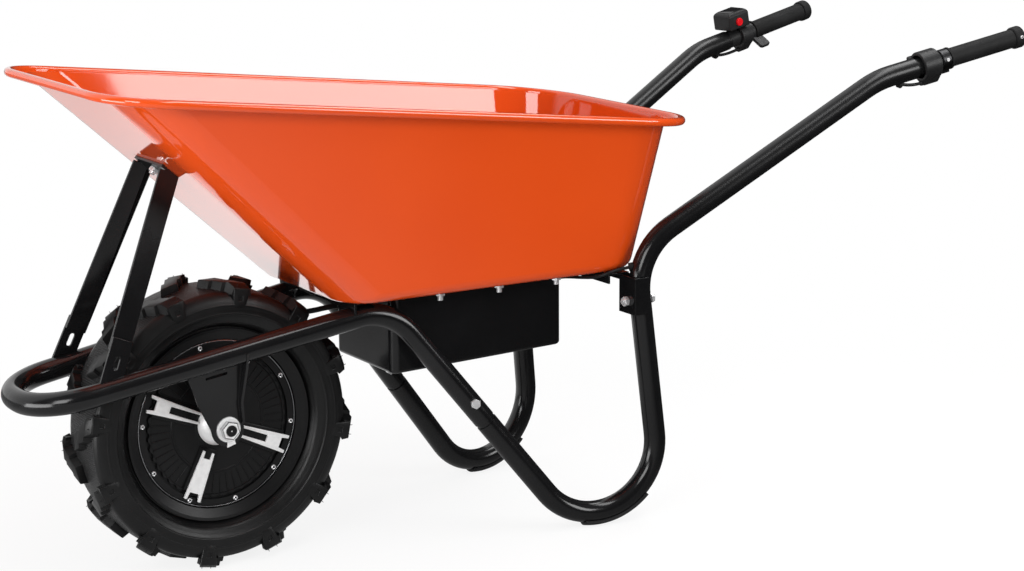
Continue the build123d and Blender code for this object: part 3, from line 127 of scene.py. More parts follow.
class Paint:
    def __init__(self, name, fixed):
        self.material = bpy.data.materials.new(name)
        self.material.use_nodes = True
        self.tree = self.material.node_tree
        self.shader = self.tree.nodes["Principled BSDF"]
        for socket, value in fixed.items():
            self.shader.inputs[socket].default_value = value

    def put(self, socket, value):
        if isinstance(value, Wire):
            self.tree.links.new(value.socket, socket)
        else:
            socket.default_value = value

    def add(self, kind, settings, values, out=0):
        node = self.tree.nodes.new(kind)
        for key, value in settings.items():
            setattr(node, key, value)
        pairs = values.items() if isinstance(values, dict) else enumerate(values)
        for key, value in pairs:
            self.put(node.inputs[key], value)
        return Wire(self, node.outputs[out])

    def feed(self, socket, value):
        self.put(self.shader.inputs[socket], value)

    def place(self):
        return self.add("ShaderNodeTexCoord", {}, {}, "Object")

    def axes(self, place):
        return [self.add("ShaderNodeSeparateXYZ", {}, [place], axis) for axis in "XYZ"]

    def noise(self, scale, detail=3.0):
        values = {"Vector": self.place(), "Scale": scale, "Detail": detail, "Roughness": 0.55}
        return self.add("ShaderNodeTexNoise", {}, values)

    def mix(self, share, first, second):
        values = {"Factor": share, mixSockets["first"]: first, mixSockets["second"]: second}
        return self.add("ShaderNodeMix", {"data_type": "RGBA"}, values, mixSockets["out"])

    def clouds(self, look, first, second):
        # soft patches of a second shade
        share = self.noise(*look["cloud"]).smooth(*look["cloudSpan"])
        return self.mix(share, shade(first), shade(second))

    def patches(self, look, rough):
        # roughness that wanders a little about its middle value
        scale, spread = look["patch"]
        return self.noise(scale) * spread + (rough - spread / 2)

    def bump(self, height, depth, strength):
        values = {"Height": height, "Distance": depth, "Strength": strength}
        self.feed("Normal", self.add("ShaderNodeBump", {}, values))


def shade(colour):
    return (*colour, 1.0)


def scaled(colour, factor):
    return tuple(c * factor for c in colour)


# in every look: cloud and grain are a noise's scale and detail, patch is the scale and spread of
# the roughness, and bump is its depth in metres and its strength
enamelLook = {
    "fixed": {"IOR": 1.5, "Coat Weight": 0.7, "Coat Roughness": 0.04},
    "body": (0.745, 0.078, 0.0085), "deep": (0.72, 0.072, 0.0075), "rough": 0.06,
    "cloud": (4.0, 2.0), "cloudSpan": (0.3, 0.7), "patch": (60.0, 0.03),
    "grain": (140.0, 2.0), "bump": (0.00004, 0.2),
}


def enamelOrange(look):
    paint = Paint("enamelOrange", look["fixed"])
    paint.feed("Base Color", paint.clouds(look, look["body"], look["deep"]))
    paint.feed("Roughness", paint.patches(look, look["rough"]))
    paint.bump(paint.noise(*look["grain"]), *look["bump"])
    return paint.material


powderLook = {
    "pale": 1.6, "cloud": (9.0, 4.0), "cloudSpan": (0.45, 0.8), "patch": (40.0, 0.1),
    "dullFrom": (0.4, 0.52), "dull": 0.14,  # the coat is duller on the handles than low on the frame
    "grain": (1400.0, 2.0), "coarse": (420.0, 1.0), "coarseShare": 0.6, "bump": (0.00006, 0.2),
}


def powderBlack(look, name, body, rough, level):
    paint = Paint(name, {"IOR": 1.5, "Specular IOR Level": level})
    paint.feed("Base Color", paint.clouds(look, body, scaled(body, look["pale"])))
    _, _, height = paint.axes(paint.place())
    dull = height.smooth(*look["dullFrom"]) * look["dull"]
    paint.feed("Roughness", paint.patches(look, rough) + dull)
    grain = paint.noise(*look["grain"]) + paint.noise(*look["coarse"]) * look["coarseShare"]
    paint.bump(grain, *look["bump"])
    return paint.material


tyreLook = {
    "fixed": {"IOR": 1.48, "Specular IOR Level": 0.36},
    "body": (0.0036, 0.0036, 0.0038), "dusty": (0.0066, 0.0066, 0.0068), "rough": 0.38,
    "cloud": (16.0, 5.0), "cloudSpan": (0.42, 0.75), "patch": (50.0, 0.2),
    # points is a lighter colour laid on the tips of the knurl: painted highlight
    "points": (0.034, 0.034, 0.035), "pointSpan": (0.15, 0.8),
    "grain": (1500.0, 3.0), "grainShare": 0.14, "bump": (0.0006, 0.8),
    # the knurl keeps to the crown: radius at the middle, drop to the sides, skin and half width
    "crown": 0.192, "drop": 1.235, "skin": (0.0004, 0.0008), "half": (0.040, 0.042),
    "across": 1000.0, "round": 190.0,
}


def tyreRubber(look, centre):
    paint = Paint("tyreRubber", look["fixed"])
    x, y, z = paint.axes(paint.place())
    right, rise = x - centre.x, z - centre.z
    radius = (right * right + rise * rise).root()
    turn = rise.angleWith(right)
    # crossed rows of small points between the lugs, bumped and painted lighter on their tips as painted
    # highlight
    first = (turn * look["round"] + y * look["across"]).sin()
    second = (turn * look["round"] - y * look["across"]).sin()
    offCrown = (radius + y * y * look["drop"] - look["crown"]).abs()
    inTread = (1 - offCrown.smooth(*look["skin"])) * (1 - y.abs().smooth(*look["half"]))
    rows = first * second * inTread
    plain = paint.clouds(look, look["body"], look["dusty"])
    paint.feed("Base Color", paint.mix(rows.smooth(*look["pointSpan"]), plain, shade(look["points"])))
    paint.feed("Roughness", paint.patches(look, look["rough"]))
    paint.bump(rows + paint.noise(*look["grain"]) * look["grainShare"], *look["bump"])
    return paint.material


rubberLook = {
    "fixed": {"IOR": 1.48, "Specular IOR Level": 0.26}, "second": 1.7,
    "cloud": (14.0, 5.0), "cloudSpan": (0.4, 0.75), "patch": (55.0, 0.16),
    "grain": (1800.0, 3.0), "bump": (0.0001, 0.6),
}
plasticLook = {
    "fixed": {"IOR": 1.48, "Specular IOR Level": 0.4}, "second": 1.35,
    "cloud": (30.0, 3.0), "cloudSpan": (0.4, 0.7), "patch": (120.0, 0.12),
    "grain": (2600.0, 2.0), "bump": (0.00008, 0.5),
}
metalLook = {
    "fixed": {"Metallic": 1.0}, "second": 0.9,
    "cloud": (160.0, 4.0), "cloudSpan": (0.35, 0.75), "patch": (300.0, 0.16),
    "grain": (900.0, 2.0), "bump": (0.00002, 0.15),
}


def plainFinish(family, name, body, rough, **own):
    # one finish of a family, with whatever it has of its own
    look = {**family, **own}
    paint = Paint(name, look["fixed"])
    paint.feed("Base Color", paint.clouds(look, body, scaled(body, look["second"])))
    paint.feed("Roughness", paint.patches(look, rough))
    paint.bump(paint.noise(*look["grain"]), *look["bump"])
    return paint.material


def rubber(*given, **own):
    return plainFinish(rubberLook, *given, **own)


def plastic(*given, **own):
    return plainFinish(plasticLook, *given, **own)


def brightMetal(*given, **own):
    return plainFinish(metalLook, *given, **own)


joints = {joint["name"]: joint for joint in frame["record"]["behaviour"]["joints"]}
axle = Vector(joints["wheel_spin"]["pos_m"])
looks = {
    "orange_enamel": enamelOrange(enamelLook),
    "frame_black": powderBlack(powderLook, "powderBlack", (0.005, 0.005, 0.0054), 0.16, 0.45),
    "motor_black": powderBlack(powderLook, "motorBlack", (0.0050, 0.0050, 0.0053), 0.36, 0.26),
    "tyre_rubber": tyreRubber(tyreLook, axle),
    "skid_rubber": rubber("skidRubber", (0.010, 0.010, 0.0105), 0.6),
    "grip_rubber": rubber("gripRubber", (0.008, 0.008, 0.0082), 0.62,
                          grain=(900.0, 3.0), bump=(0.0002, 0.6)),
    "cable_black": rubber("cableSheath", (0.009, 0.009, 0.0095), 0.42),
    "control_plastic": plastic("controlPlastic", (0.011, 0.011, 0.0115), 0.42),
    "button_red": plastic("buttonRed", (0.60, 0.005, 0.010), 0.22, bump=(0.00002, 0.5)),
    "display_dark": plastic("displayDark", (0.005, 0.005, 0.006), 0.1, bump=(0.00001, 0.5)),
    "cell_wrap": plastic("cellWrap", (0.02, 0.07, 0.2), 0.4),
    "zinc_steel": brightMetal("zincSteel", (0.78, 0.78, 0.79), 0.24, fixed={"Metallic": 0.55}),
    "stator_iron": brightMetal("statorIron", (0.25, 0.25, 0.26), 0.5),
    "copper_wire": brightMetal("copperWire", (0.72, 0.32, 0.15), 0.35),
    "valve_brass": brightMetal("valveBrass", (0.65, 0.5, 0.25), 0.35),
    "collar_alloy": brightMetal("collarAlloy", (0.05, 0.05, 0.052), 0.36),
    "controller_alloy": brightMetal("controllerAlloy", (0.5, 0.5, 0.51), 0.4),
}
spokeSilver = brightMetal("spokeSilver", (0.86, 0.86, 0.86), 0.4, fixed={"Metallic": 0.25})
edgeSteel = brightMetal("edgeSteel", (0.3, 0.3, 0.31), 0.25)
# a darker, shinier copy of the zinc steel for the nut's sides, as painted shade
nutSteel = brightMetal("nutSteel", (0.55, 0.55, 0.56), 0.14)
slotOf = {part["node"]: part["material_slot"] for part in frame["record"]["subparts"]}
for name, node in nodes.items():
    node.data.materials.clear()
    node.data.materials.append(looks[slotOf[name]])
print("materials on", len(nodes), "nodes")


# shapes are modelled in millimetres from the floor below the axle, and scaled when finished
toFrame = Matrix.Translation((axle.x, 0, 0)) @ Matrix.Scale(0.001, 4)
weldGap = 0.0005
slack = 0.1  # for picking what lies on a plane


class Shape:
    def __init__(self):
        self.bm = bmesh.new()

    def face(self, points):
        return self.bm.faces.new([self.bm.verts.new(point) for point in points])

    def raised(self, face, by):
        grown = bmesh.ops.extrude_face_region(self.bm, geom=[face])["geom"]
        made = [item for item in grown if isinstance(item, bmesh.types.BMVert)]
        bmesh.ops.translate(self.bm, vec=by, verts=made)
        return next(item for item in grown if isinstance(item, bmesh.types.BMFace))

    def prism(self, outline, low, high):
        top = self.raised(self.face([(x, y, low) for x, y in outline]), (0, 0, high - low))
        self.square()
        return top

    def sharpEdges(self, angle, edges=None):
        chosen = self.bm.edges if edges is None else edges
        return [e for e in chosen if e.is_manifold and e.calc_face_angle() > radians(angle)]

    def soften(self, edges, width, segments=2):
        settings = {"offset_type": "OFFSET", "affect": "EDGES", "profile": 0.5, "material": -1}
        bmesh.ops.bevel(self.bm, geom=edges, offset=width, segments=segments, **settings)

    def softenAll(self, width, segments=2, sharper=25):
        self.soften(self.sharpEdges(sharper), width, segments)

    def spin(self, profile, steps, closed=True):
        verts = [self.bm.verts.new((r, 0, h)) for r, h in profile]
        pairs = list(zip(verts, verts[1:])) + ([(verts[-1], verts[0])] if closed else [])
        edges = [self.bm.edges.new(pair) for pair in pairs]
        bmesh.ops.spin(self.bm, geom=verts + edges, cent=(0, 0, 0), axis=(0, 0, 1), dvec=(0, 0, 0),
                       angle=2 * pi, steps=steps, use_merge=True)
        bmesh.ops.remove_doubles(self.bm, verts=self.bm.verts, dist=weldGap)
        self.square()

    def square(self):
        bmesh.ops.recalc_face_normals(self.bm, faces=self.bm.faces)

    def join(self, other, places):
        for place in places:
            mesh = bpy.data.meshes.new("copy")
            other.bm.to_mesh(mesh)
            mesh.transform(place)
            if place.determinant() < 0:
                mesh.flip_normals()
            self.bm.from_mesh(mesh)
            bpy.data.meshes.remove(mesh)
        return self


def finishPiece(shape, name, slot, body, replaced=(), sharp=32, paint=None):
    mesh = bpy.data.meshes.new(name)
    shape.bm.to_mesh(mesh)
    shape.bm.free()
    mesh.transform(toFrame)
    mesh.polygons.foreach_set("use_smooth", [True] * len(mesh.polygons))
    mesh.set_sharp_from_angle(angle=radians(sharp))
    mesh.materials.append(paint or looks[slot])
    piece = bpy.data.objects.new(name, mesh)
    scene.collection.objects.link(piece)
    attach(piece, body)
    if replaced:
        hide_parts(*replaced)
    return piece


# the wheel is drawn with its axis on Z and its outer side up, then laid on each side of the barrow
axleHeight = axle.z * 1000
layLeft = Matrix(((1, 0, 0, 0), (0, 0, -1, 0), (0, 1, 0, axleHeight), (0, 0, 0, 1)))
layRight = Matrix(((1, 0, 0, 0), (0, 0, 1, 0), (0, 1, 0, axleHeight), (0, 0, 0, 1)))
bothSides = [layLeft, layRight]


def finishBoth(shape, *given, **own):
    finishPiece(Shape().join(shape, bothSides), *given, **own)


def turned(angle):
    return Matrix.Rotation(radians(angle), 4, "Z")


def around(count, first):
    return [turned(first + 360 * index / count) for index in range(count)]


def above(level, profile):
    # a profile's heights are given from the face that it stands on
    return [(r, level + rise) for r, rise in profile]


def circleThrough(a, b, c):
    # centre and radius of the circle through three points
    (ax, ay), (bx, by), (cx, cy) = a, b, c
    d = 2 * (ax * (by - cy) + bx * (cy - ay) + cx * (ay - by))
    a2, b2, c2 = ax * ax + ay * ay, bx * bx + by * by, cx * cx + cy * cy
    x = (a2 * (by - cy) + b2 * (cy - ay) + c2 * (ay - by)) / d
    y = (a2 * (cx - bx) + b2 * (ax - cx) + c2 * (bx - ax)) / d
    return x, y, sqrt((ax - x) ** 2 + (ay - y) ** 2)


# points of the section are (radius, distance from the middle)
tyreSpec = {
    "tread": 192.0, "top": 203.0, "half": 53.0, "turns": 168,
    "crown": [(0.0, 0.0), (0.5, 20.0), (1.6, 36.0)],  # drop from the tread, distance from the middle
    "shoulder": (188.0, 45.0), "widest": (163.5, 51.0), "lip": (139.0, 29.0),
    "bead": [(127.0, 28.9), (127.0, 22.0)],
    "inside": [(140.0, 22.0), (150.0, 40.0), (162.0, 44.0), (176.0, 41.5), (181.0, 38.0)], "wall": 7.0,
    "seam": 0.001,
    "ridges": {160.0: (0.9, 1.1), 147.0: (1.6, 0.8), 172.5: (0.9, 0.5)},  # radius: half width, height
    "ridgeSlope": 0.6, "nearRidge": 1.6, "fineStep": 0.7, "coarseStep": 2.2,
    "lugs": 12, "firstLeft": 20.5, "firstRight": 5.5,
}
lugSpec = {
    "width": 24.0, "lean": 23.0, "inner": 5.0, "steps": (38.0, 22.0), "stepBack": 4.5,
    "barEnd": 51.6, "shoulderFrom": 43.0, "pastShoulder": 44.0, "shoulderTop": 197.0,
    "foot": 5.0, "footGrowth": 1.25, "barEdge": 0.9, "barSharp": 25,
    # the block on the sidewall, and the small window sunk in its face
    "blockTop": 196.4, "blockLow": 166.0, "blockInner": 42.0, "blockWider": 0.6, "blockTaper": 2.2,
    "blockEdge": 1.2, "blockSharp": 60, "toeHeight": 6.0, "toeDrop": 2.2, "toeOutside": 45.0,
    "windowHalf": 3.6, "windowLow": 178.5, "windowHigh": 185.5, "windowRim": 0.9, "windowDepth": 1.8,
    "windowInset": 5.0,
    "nibRadii": (0.7, 0.35), "nibHeight": 6.0, "nibs": [(-7.0, 48.0, 199.5), (6.0, 48.0, 199.5)],
}


def sidewallPoints(t):
    # the outer wall from shoulder to rim: one arc with thin rings standing on it
    cr, ch, radius = circleThrough(t["shoulder"], t["widest"], t["lip"])
    points = []
    r = t["shoulder"][0]
    while r > t["lip"][0]:
        lift, step = 0.0, t["coarseStep"]
        for at, (half, height) in t["ridges"].items():
            lift = max(lift, height * max(0.0, 1 - max(0.0, abs(r - at) - half) / t["ridgeSlope"]))
            if abs(r - at) < half + t["nearRidge"]:
                step = t["fineStep"]
        points.append((r, ch + sqrt(radius * radius - (r - cr) ** 2) + lift))
        r -= step
    return points


def lugBar(t, g):
    # a stepped bar that leans across the tread: X round the tyre, Y across it, Z out from the axle
    def lean(across):
        return g["lean"] * (t["half"] - across) / (t["half"] - g["inner"])

    bar = Shape()
    half = g["width"] / 2
    near, far = g["steps"]
    rows = [(g["barEnd"], 0), (near, 0), (near, 1), (far, 1), (far, 2), (g["inner"], 2)]
    shift = [lean(across) + g["stepBack"] * count for across, count in rows]
    left = [(s - shift[0] - half, across) for s, (across, _) in zip(shift, rows)]
    right = [(s - shift[0] + half, across) for s, (across, _) in zip(shift, rows)]
    bar.prism(left + right[::-1], t["tread"] - g["foot"], t["top"])
    everything = list(bar.bm.verts) + list(bar.bm.edges) + list(bar.bm.faces)
    cut = {"plane_co": (0, g["shoulderFrom"], 0), "plane_no": (0, 1, 0)}
    bmesh.ops.bisect_plane(bar.bm, geom=everything, **cut)
    for v in bar.bm.verts:
        if v.co.z < t["tread"]:
            middle = lean(v.co.y)
            v.co.x = middle + (v.co.x - middle) * g["footGrowth"]
        elif v.co.y > g["pastShoulder"]:
            v.co.z = g["shoulderTop"]
    tops = [e for e in bar.bm.edges if all(v.co.z > t["tread"] for v in e.verts)]
    bar.soften(bar.sharpEdges(g["barSharp"], tops), g["barEdge"])
    return bar


def lugBlock(t, g):
    # drawn flat, with X round the tyre, Y out from the axle and Z across it
    block = Shape()
    wide, taper = g["width"] / 2 + g["blockWider"], g["blockTaper"]
    low, high = g["blockLow"], g["blockTop"]
    outline = [(-wide, high), (wide, high), (wide - taper, low), (taper - wide, low)]
    face = block.prism(outline, g["blockInner"], t["half"])
    bmesh.ops.inset_individual(block.bm, faces=[face], thickness=g["windowInset"])
    middle = (g["windowLow"] + g["windowHigh"]) / 2
    for v in face.verts:
        v.co.x = g["windowHalf"] if v.co.x > 0 else -g["windowHalf"]
        v.co.y = g["windowHigh"] if v.co.y > middle else g["windowLow"]
    bmesh.ops.inset_individual(block.bm, faces=[face], thickness=g["windowRim"], depth=-g["windowDepth"])
    outer = [e for e in block.bm.edges if all(abs(v.co.z - t["half"]) < slack for v in e.verts)]
    block.soften(block.sharpEdges(g["blockSharp"], outer), g["blockEdge"])
    toe = low + g["toeHeight"]
    for v in block.bm.verts:
        if v.co.y < toe and v.co.z > g["toeOutside"]:
            v.co.z -= g["toeDrop"] * (toe - v.co.y) / g["toeHeight"]
    return block


def treadLug(t, g):
    nib = Shape()
    thick, thin = g["nibRadii"]
    cone = {"radius1": thick, "radius2": thin, "depth": g["nibHeight"]}
    bmesh.ops.create_cone(nib.bm, cap_ends=True, segments=6, **cone)
    swapAxes = Matrix(((1, 0, 0, 0), (0, 0, 1, 0), (0, 1, 0, 0), (0, 0, 0, 1)))
    lug = Shape().join(lugBar(t, g), [Matrix.Identity(4)]).join(lugBlock(t, g), [swapAxes])
    lug.join(nib, [Matrix.Translation(place) for place in g["nibs"]])
    for v in lug.bm.verts:  # wrapped round the tyre
        angle, radius = v.co.x / t["tread"], min(v.co.z, t["top"])
        v.co = Vector((radius * cos(angle), radius * sin(angle), v.co.y))
    lug.square()
    return lug


def makeTyre(t, g):
    crown = [(t["tread"] - drop, across) for drop, across in t["crown"]]
    inner = [t["lip"], *t["bead"], *t["inside"], (t["tread"] - t["wall"], 0.0)]
    carcass = Shape()
    carcass.spin(crown + sidewallPoints(t) + inner, t["turns"], closed=False)
    tyre = Shape().join(carcass, bothSides)
    bmesh.ops.remove_doubles(tyre.bm, verts=tyre.bm.verts, dist=t["seam"])
    tyre.square()
    lug = treadLug(t, g)
    for lay, first in ((layLeft, t["firstLeft"]), (layRight, t["firstRight"])):
        tyre.join(Shape().join(lug, around(t["lugs"], first)), [lay])
    finishPiece(tyre, "tyreWithLugs", "tyre_rubber", "wheel", ["tyre"], sharp=40)


makeTyre(tyreSpec, lugSpec)
print("tyre done")

# the hub: spokes stand at these angles on the face of each motor cover
hubSpec = {
    "face": 26.5, "spokes": {66.5: "solid", 156.5: "slotted", 246.5: "solid", 336.5: "slotted"},
    "spokeHalf": 6.35, "spokeFlare": 0.061,  # half width at the centre, and its growth with radius
}
coverSpec = {
    "profile": [  # radius, height above the face
        (12.6, -6.0), (12.6, 0.8), (33.0, 0.8), (34.0, 0.0), (66.5, 0.0), (67.5, 0.9), (69.5, 0.9),
        (70.5, -0.4), (100.5, -1.2), (101.5, 0.6), (103.6, 0.6), (104.2, -3.5), (107.6, -3.5),
        (108.2, 1.0), (116.6, 1.0), (117.8, 0.2), (117.8, -6.0),
    ],
    "turns": 180, "scallopZone": (103.2, 104.5), "scallop": 0.012, "scallopSteps": 4,
    "fin": (72.5, 99.5), "finHalf": (0.55, 0.88), "finRise": (-2.0, 0.3), "finEdge": 0.25,
    "finStep": 7.0, "finClear": 17.5,
    "bed": (36.0, 100.5), "bedMargin": 4.6, "bedSunk": 3.0, "bedTop": 29.9, "bedEdge": 1.3,
}


def halfWidth(r):
    return hubSpec["spokeHalf"] + hubSpec["spokeFlare"] * r


def makeCover(h, c):
    # a dished disc with a scalloped groove inside the ring of screws
    face = h["face"]
    cover = Shape()
    cover.spin(above(face, c["profile"]), c["turns"])
    inner, outer = c["scallopZone"]
    for v in cover.bm.verts:
        if inner < v.co.xy.length < outer:
            step = round(degrees(atan2(v.co.y, v.co.x)) / (360 / c["turns"])) % c["scallopSteps"]
            v.co.xy *= 1 + (c["scallop"] if step < c["scallopSteps"] / 2 else -c["scallop"])
    # thin radial fins between the spokes
    fin = Shape()
    inner, outer = c["fin"]
    thin, thick = c["finHalf"]
    low, high = c["finRise"]
    outline = [(inner, -thin), (outer, -thick), (outer, thick), (inner, thin)]
    fin.prism(outline, face + low, face + high)
    fin.softenAll(c["finEdge"], segments=1)
    angles = sorted(h["spokes"])
    free = 90 - 2 * c["finClear"]
    gaps = round(free / c["finStep"])
    starts = [angle + c["finClear"] for angle in angles]
    cover.join(fin, [turned(start + free * k / gaps) for start in starts for k in range(gaps + 1)])
    # a raised bed below each spoke
    bed = Shape()
    inner, outer = c["bed"]
    near, far = halfWidth(inner) + c["bedMargin"], halfWidth(outer) + c["bedMargin"]
    outline = [(inner, -near), (outer, -far), (outer, far), (inner, near)]
    bed.prism(outline, face - c["bedSunk"], c["bedTop"])
    bed.softenAll(c["bedEdge"])
    cover.join(bed, [turned(angle) for angle in angles])
    for side, lay in zip(("left", "right"), bothSides):
        name, replaced = "motorCover" + side.capitalize(), ["motor_cover_" + side]
        finishPiece(Shape().join(cover, [lay]), name, "motor_black", "wheel", replaced)


spokeSpec = {
    "low": 29.6, "top": 33.0, "outerEnd": 112.0, "forkStart": 101.5, "forkHalf": (8.8, 7.2), "edge": 0.6,
    # inner end, outer end of the slot or notch there, and its half width
    "slotted": (30.0, 79.0, 4.9), "solid": (41.0, 51.0, 5.4),
}


def makeSpokes(h, s):
    spokes = Shape()
    tip, fork = s["outerEnd"], s["forkStart"]
    mouth, root = s["forkHalf"]
    outerHalf = [(tip, halfWidth(tip)), (tip, mouth), (fork, root)]
    for angle, kind in h["spokes"].items():
        start, end, half = s[kind]
        upper = [(end, half), (start, half), (start, halfWidth(start))] + outerHalf
        lower = [(x, -y) for x, y in upper][::-1]
        spoke = Shape()
        spoke.prism(upper + lower, s["low"], s["top"])
        spoke.softenAll(s["edge"])
        spokes.join(spoke, [turned(angle)])
    finishBoth(spokes, "silverSpokes", "zinc_steel", "wheel", paint=spokeSilver)


# radius and height above the face of the cover
trimSpec = {
    "screws": 10, "screwCircle": 113.2, "screwFirst": 101.8, "screwTurns": 20, "socketTurns": 6,
    "screw": [(0, 1.6), (1.5, 1.6), (1.7, 3.2), (2.4, 3.5), (3.1, 2.9), (3.4, 2.2), (3.4, 0.4),
              (3.0, 0.4), (3.0, -10.0), (0, -10.0)],
    # socket is a dark disc set into the recess of each screw head, as painted shade
    "socket": [(0, 2.3), (1.45, 2.3), (1.45, 1.5), (0, 1.5)],
    "edgeRing": [(117.9, -1.0), (117.9, 1.6), (118.6, 2.1), (119.4, 1.6), (119.4, -1.0)], "edgeTurns": 180,
    "boss": [(12.6, 0.0), (12.6, 16.5), (14.0, 17.5), (18.0, 17.1), (22.0, 15.1), (26.5, 10.1),
             (29.6, 4.1), (30.2, 1.9), (30.2, 0.0)], "bossTurns": 96,
}


def makeHubTrim(h, t):
    face = h["face"]
    out = Matrix.Translation((t["screwCircle"], 0, 0))
    places = [turn @ out for turn in around(t["screws"], t["screwFirst"])]
    screw = Shape()
    screw.spin(above(face, t["screw"]), t["screwTurns"], closed=False)
    finishBoth(Shape().join(screw, places), "coverScrews", "zinc_steel", "wheel", ["cover_screws"])
    # painted shade: a dark disc in each screw head's recess stands in for the shade inside its socket
    socket = Shape()
    socket.spin(above(face, t["socket"]), t["socketTurns"], closed=False)
    finishBoth(Shape().join(socket, places), "coverScrewSockets", "motor_black", "wheel")
    ring = Shape()
    ring.spin(above(face, t["edgeRing"]), t["edgeTurns"])
    finishBoth(ring, "coverEdgeRings", "zinc_steel", "wheel", paint=edgeSteel)
    boss = Shape()
    boss.spin(above(face, t["boss"]), t["bossTurns"])
    finishBoth(boss, "hubBosses", "zinc_steel", "wheel", paint=spokeSilver)


makeCover(hubSpec, coverSpec)
makeSpokes(hubSpec, spokeSpec)
makeHubTrim(hubSpec, trimSpec)
print("hub done")


# the axle ends in a threaded stud, a hex nut and a tab washer; the stud's end is painted dark as painted
# shade, with a bright dot at its centre as a painted glint
axleEndSpec = {
    "end": 73.5, "studTurns": 32, "dotTurns": 12,
    "stud": [(0, -1.0), (8.05, -1.0), (8.05, 0.05), (7.25, 0.3), (0, 0.3)],  # radius, height from the end
    "dot": [(0, -1.0), (0.9, -1.0), (0.9, 0.4), (0, 0.5)],
    "corner": 13.86, "nutTurn": -15.0, "nutEdge": 0.7, "nutFace": 72.0, "washerFace": 64.0,
    "plateCorner": 12.26, "plate": (-0.3, 0.15), "washerRing": (12.0, 17.4), "ringTurns": 64,
    "tab": [(-6.0, -25.0), (7.0, -23.0), (6.0, -15.0), (-4.0, -15.0)],
    "tabRise": (-1.9, -0.4), "tabTurn": 8.0,
}


def makeAxleEnds(s):
    # painted shade: the stud's end takes the black of the motor, and the small bright disc at its centre is
    # a painted glint
    stud = Shape()
    stud.spin(above(s["end"], s["stud"]), s["studTurns"], closed=False)
    finishBoth(stud, "axleStudEnds", "motor_black", "frame")
    dot = Shape()
    dot.spin(above(s["end"], s["dot"]), s["dotTurns"], closed=False)
    finishBoth(dot, "axleStudDots", "zinc_steel", "frame", paint=spokeSilver)

    def hexagon(corner):
        corners = [turned(s["nutTurn"] + 60 * k) @ Vector((corner, 0, 0)) for k in range(6)]
        return [(c.x, c.y) for c in corners]

    # painted shade: the nut's sides take a darker copy of the steel than its bright face plates
    nut = Shape()
    face, under = s["nutFace"], s["washerFace"]
    top = nut.prism(hexagon(s["corner"]), under, face)
    nut.soften(list(top.edges), s["nutEdge"], segments=1)
    finishBoth(nut, "axleNutsCut", "zinc_steel", "frame", ["axle_nuts"], sharp=20, paint=nutSteel)
    # painted highlight: bright plates on the faces of nut and washer and on the tab, lighter than the nut's
    # sides
    bright = Shape()
    low, high = s["plate"]
    bright.prism(hexagon(s["plateCorner"]), face + low, face + high)
    inner, outer = s["washerRing"]
    bright.spin(above(under, [(inner, low), (outer, low), (outer, high), (inner, high)]), s["ringTurns"])
    tab = Shape()
    low, high = s["tabRise"]
    tab.prism(s["tab"], under + low, under + high)
    bright.join(tab, [turned(s["tabTurn"])])
    finishBoth(bright, "axleEndFaces", "zinc_steel", "frame", paint=spokeSilver)


makeAxleEnds(axleEndSpec)
print("axle ends done")

# the handle bars: from the bend of each handle tube to the end of its grip
barSpec = {"bend": (1009.5, 226.7, 632.3), "end": (1264.0, 262.0, 686.0), "saddle": (608.4, 168.0, 403.2)}


class Bar:
    def __init__(self, b, side):
        self.side = side
        flip = Vector((1, side, 1))
        self.bend, end, self.saddle = [Vector(b[key]) * flip for key in ("bend", "end", "saddle")]
        self.along = (end - self.bend).normalized()
        self.up = (Vector((0, 0, 1)) - self.along * self.along.z).normalized()
        self.inboard = self.along.cross(self.up) * side
        self.handle = (self.bend - self.saddle).normalized()

    def at(self, along, rise):
        return self.bend + self.along * along + self.up * rise

    def lay(self):
        # local X up, Y inboard, Z along the bar
        turn = Matrix((self.up, self.inboard, self.along)).transposed().to_4x4()
        return Matrix.Translation(self.bend) @ turn

    def fromSaddle(self, back, inboard, rise):
        return self.saddle + Vector((back, -self.side * inboard, rise))


def onBar(bar, *shapes):
    placed = Shape()
    for shape in shapes:
        placed.join(shape, [bar.lay()])
    return placed


leftBar, rightBar = Bar(barSpec, -1), Bar(barSpec, 1)

cordSpec = {
    "controls": {
        "diameter": 0.005, "gland": (548.7, 60.0, 353.5), "inside": 36.0,
        "belowBar": [(50.0, -24.0), (20.0, -5.0)],  # along the bar, rise
        "pastBend": 60.0, "aboveSaddle": 80.0,  # inside the handle tube
        "fromSaddle": [(24, -3, -3), (10, -2, -20), (-22, 12, -26), (-44, 14, -31.5), (-49, 36, -39),
                       (-53, 62, -43), (-58, 88, -46)],  # back, inboard, rise
        "neck": [(0, -1.4), (2.9, -1.4), (3.6, -0.8), (4.2, 0.8), (4.4, 6.0), (0, 6.0)], "neckTurns": 32,
    },
    "switch": {"bar": leftBar, "start": 73.6, "drop": 25.0, "length": 0.729, "node": "switch_cable"},
    "throttle": {"bar": rightBar, "start": 89.6, "drop": 22.0, "length": 0.745, "node": "throttle_cable"},
    "motor": {
        "diameter": 0.008, "length": 0.365, "node": "motor_cable", "gland": (247.0, 62.0, 325.5),
        "fromAxle": [(0, 61.5, 203), (0, 88.5, 203), (6, 103, 222), (16, 106, 252), (34, 104, 282),
                     (62, 97, 302), (103, 91, 311), (151, 84, 318)],
        "atGland": [(-52, 3, -4), (-22, 0, 0), (22, 0, 0)],
    },
}
controlCords = ("switch", "throttle")


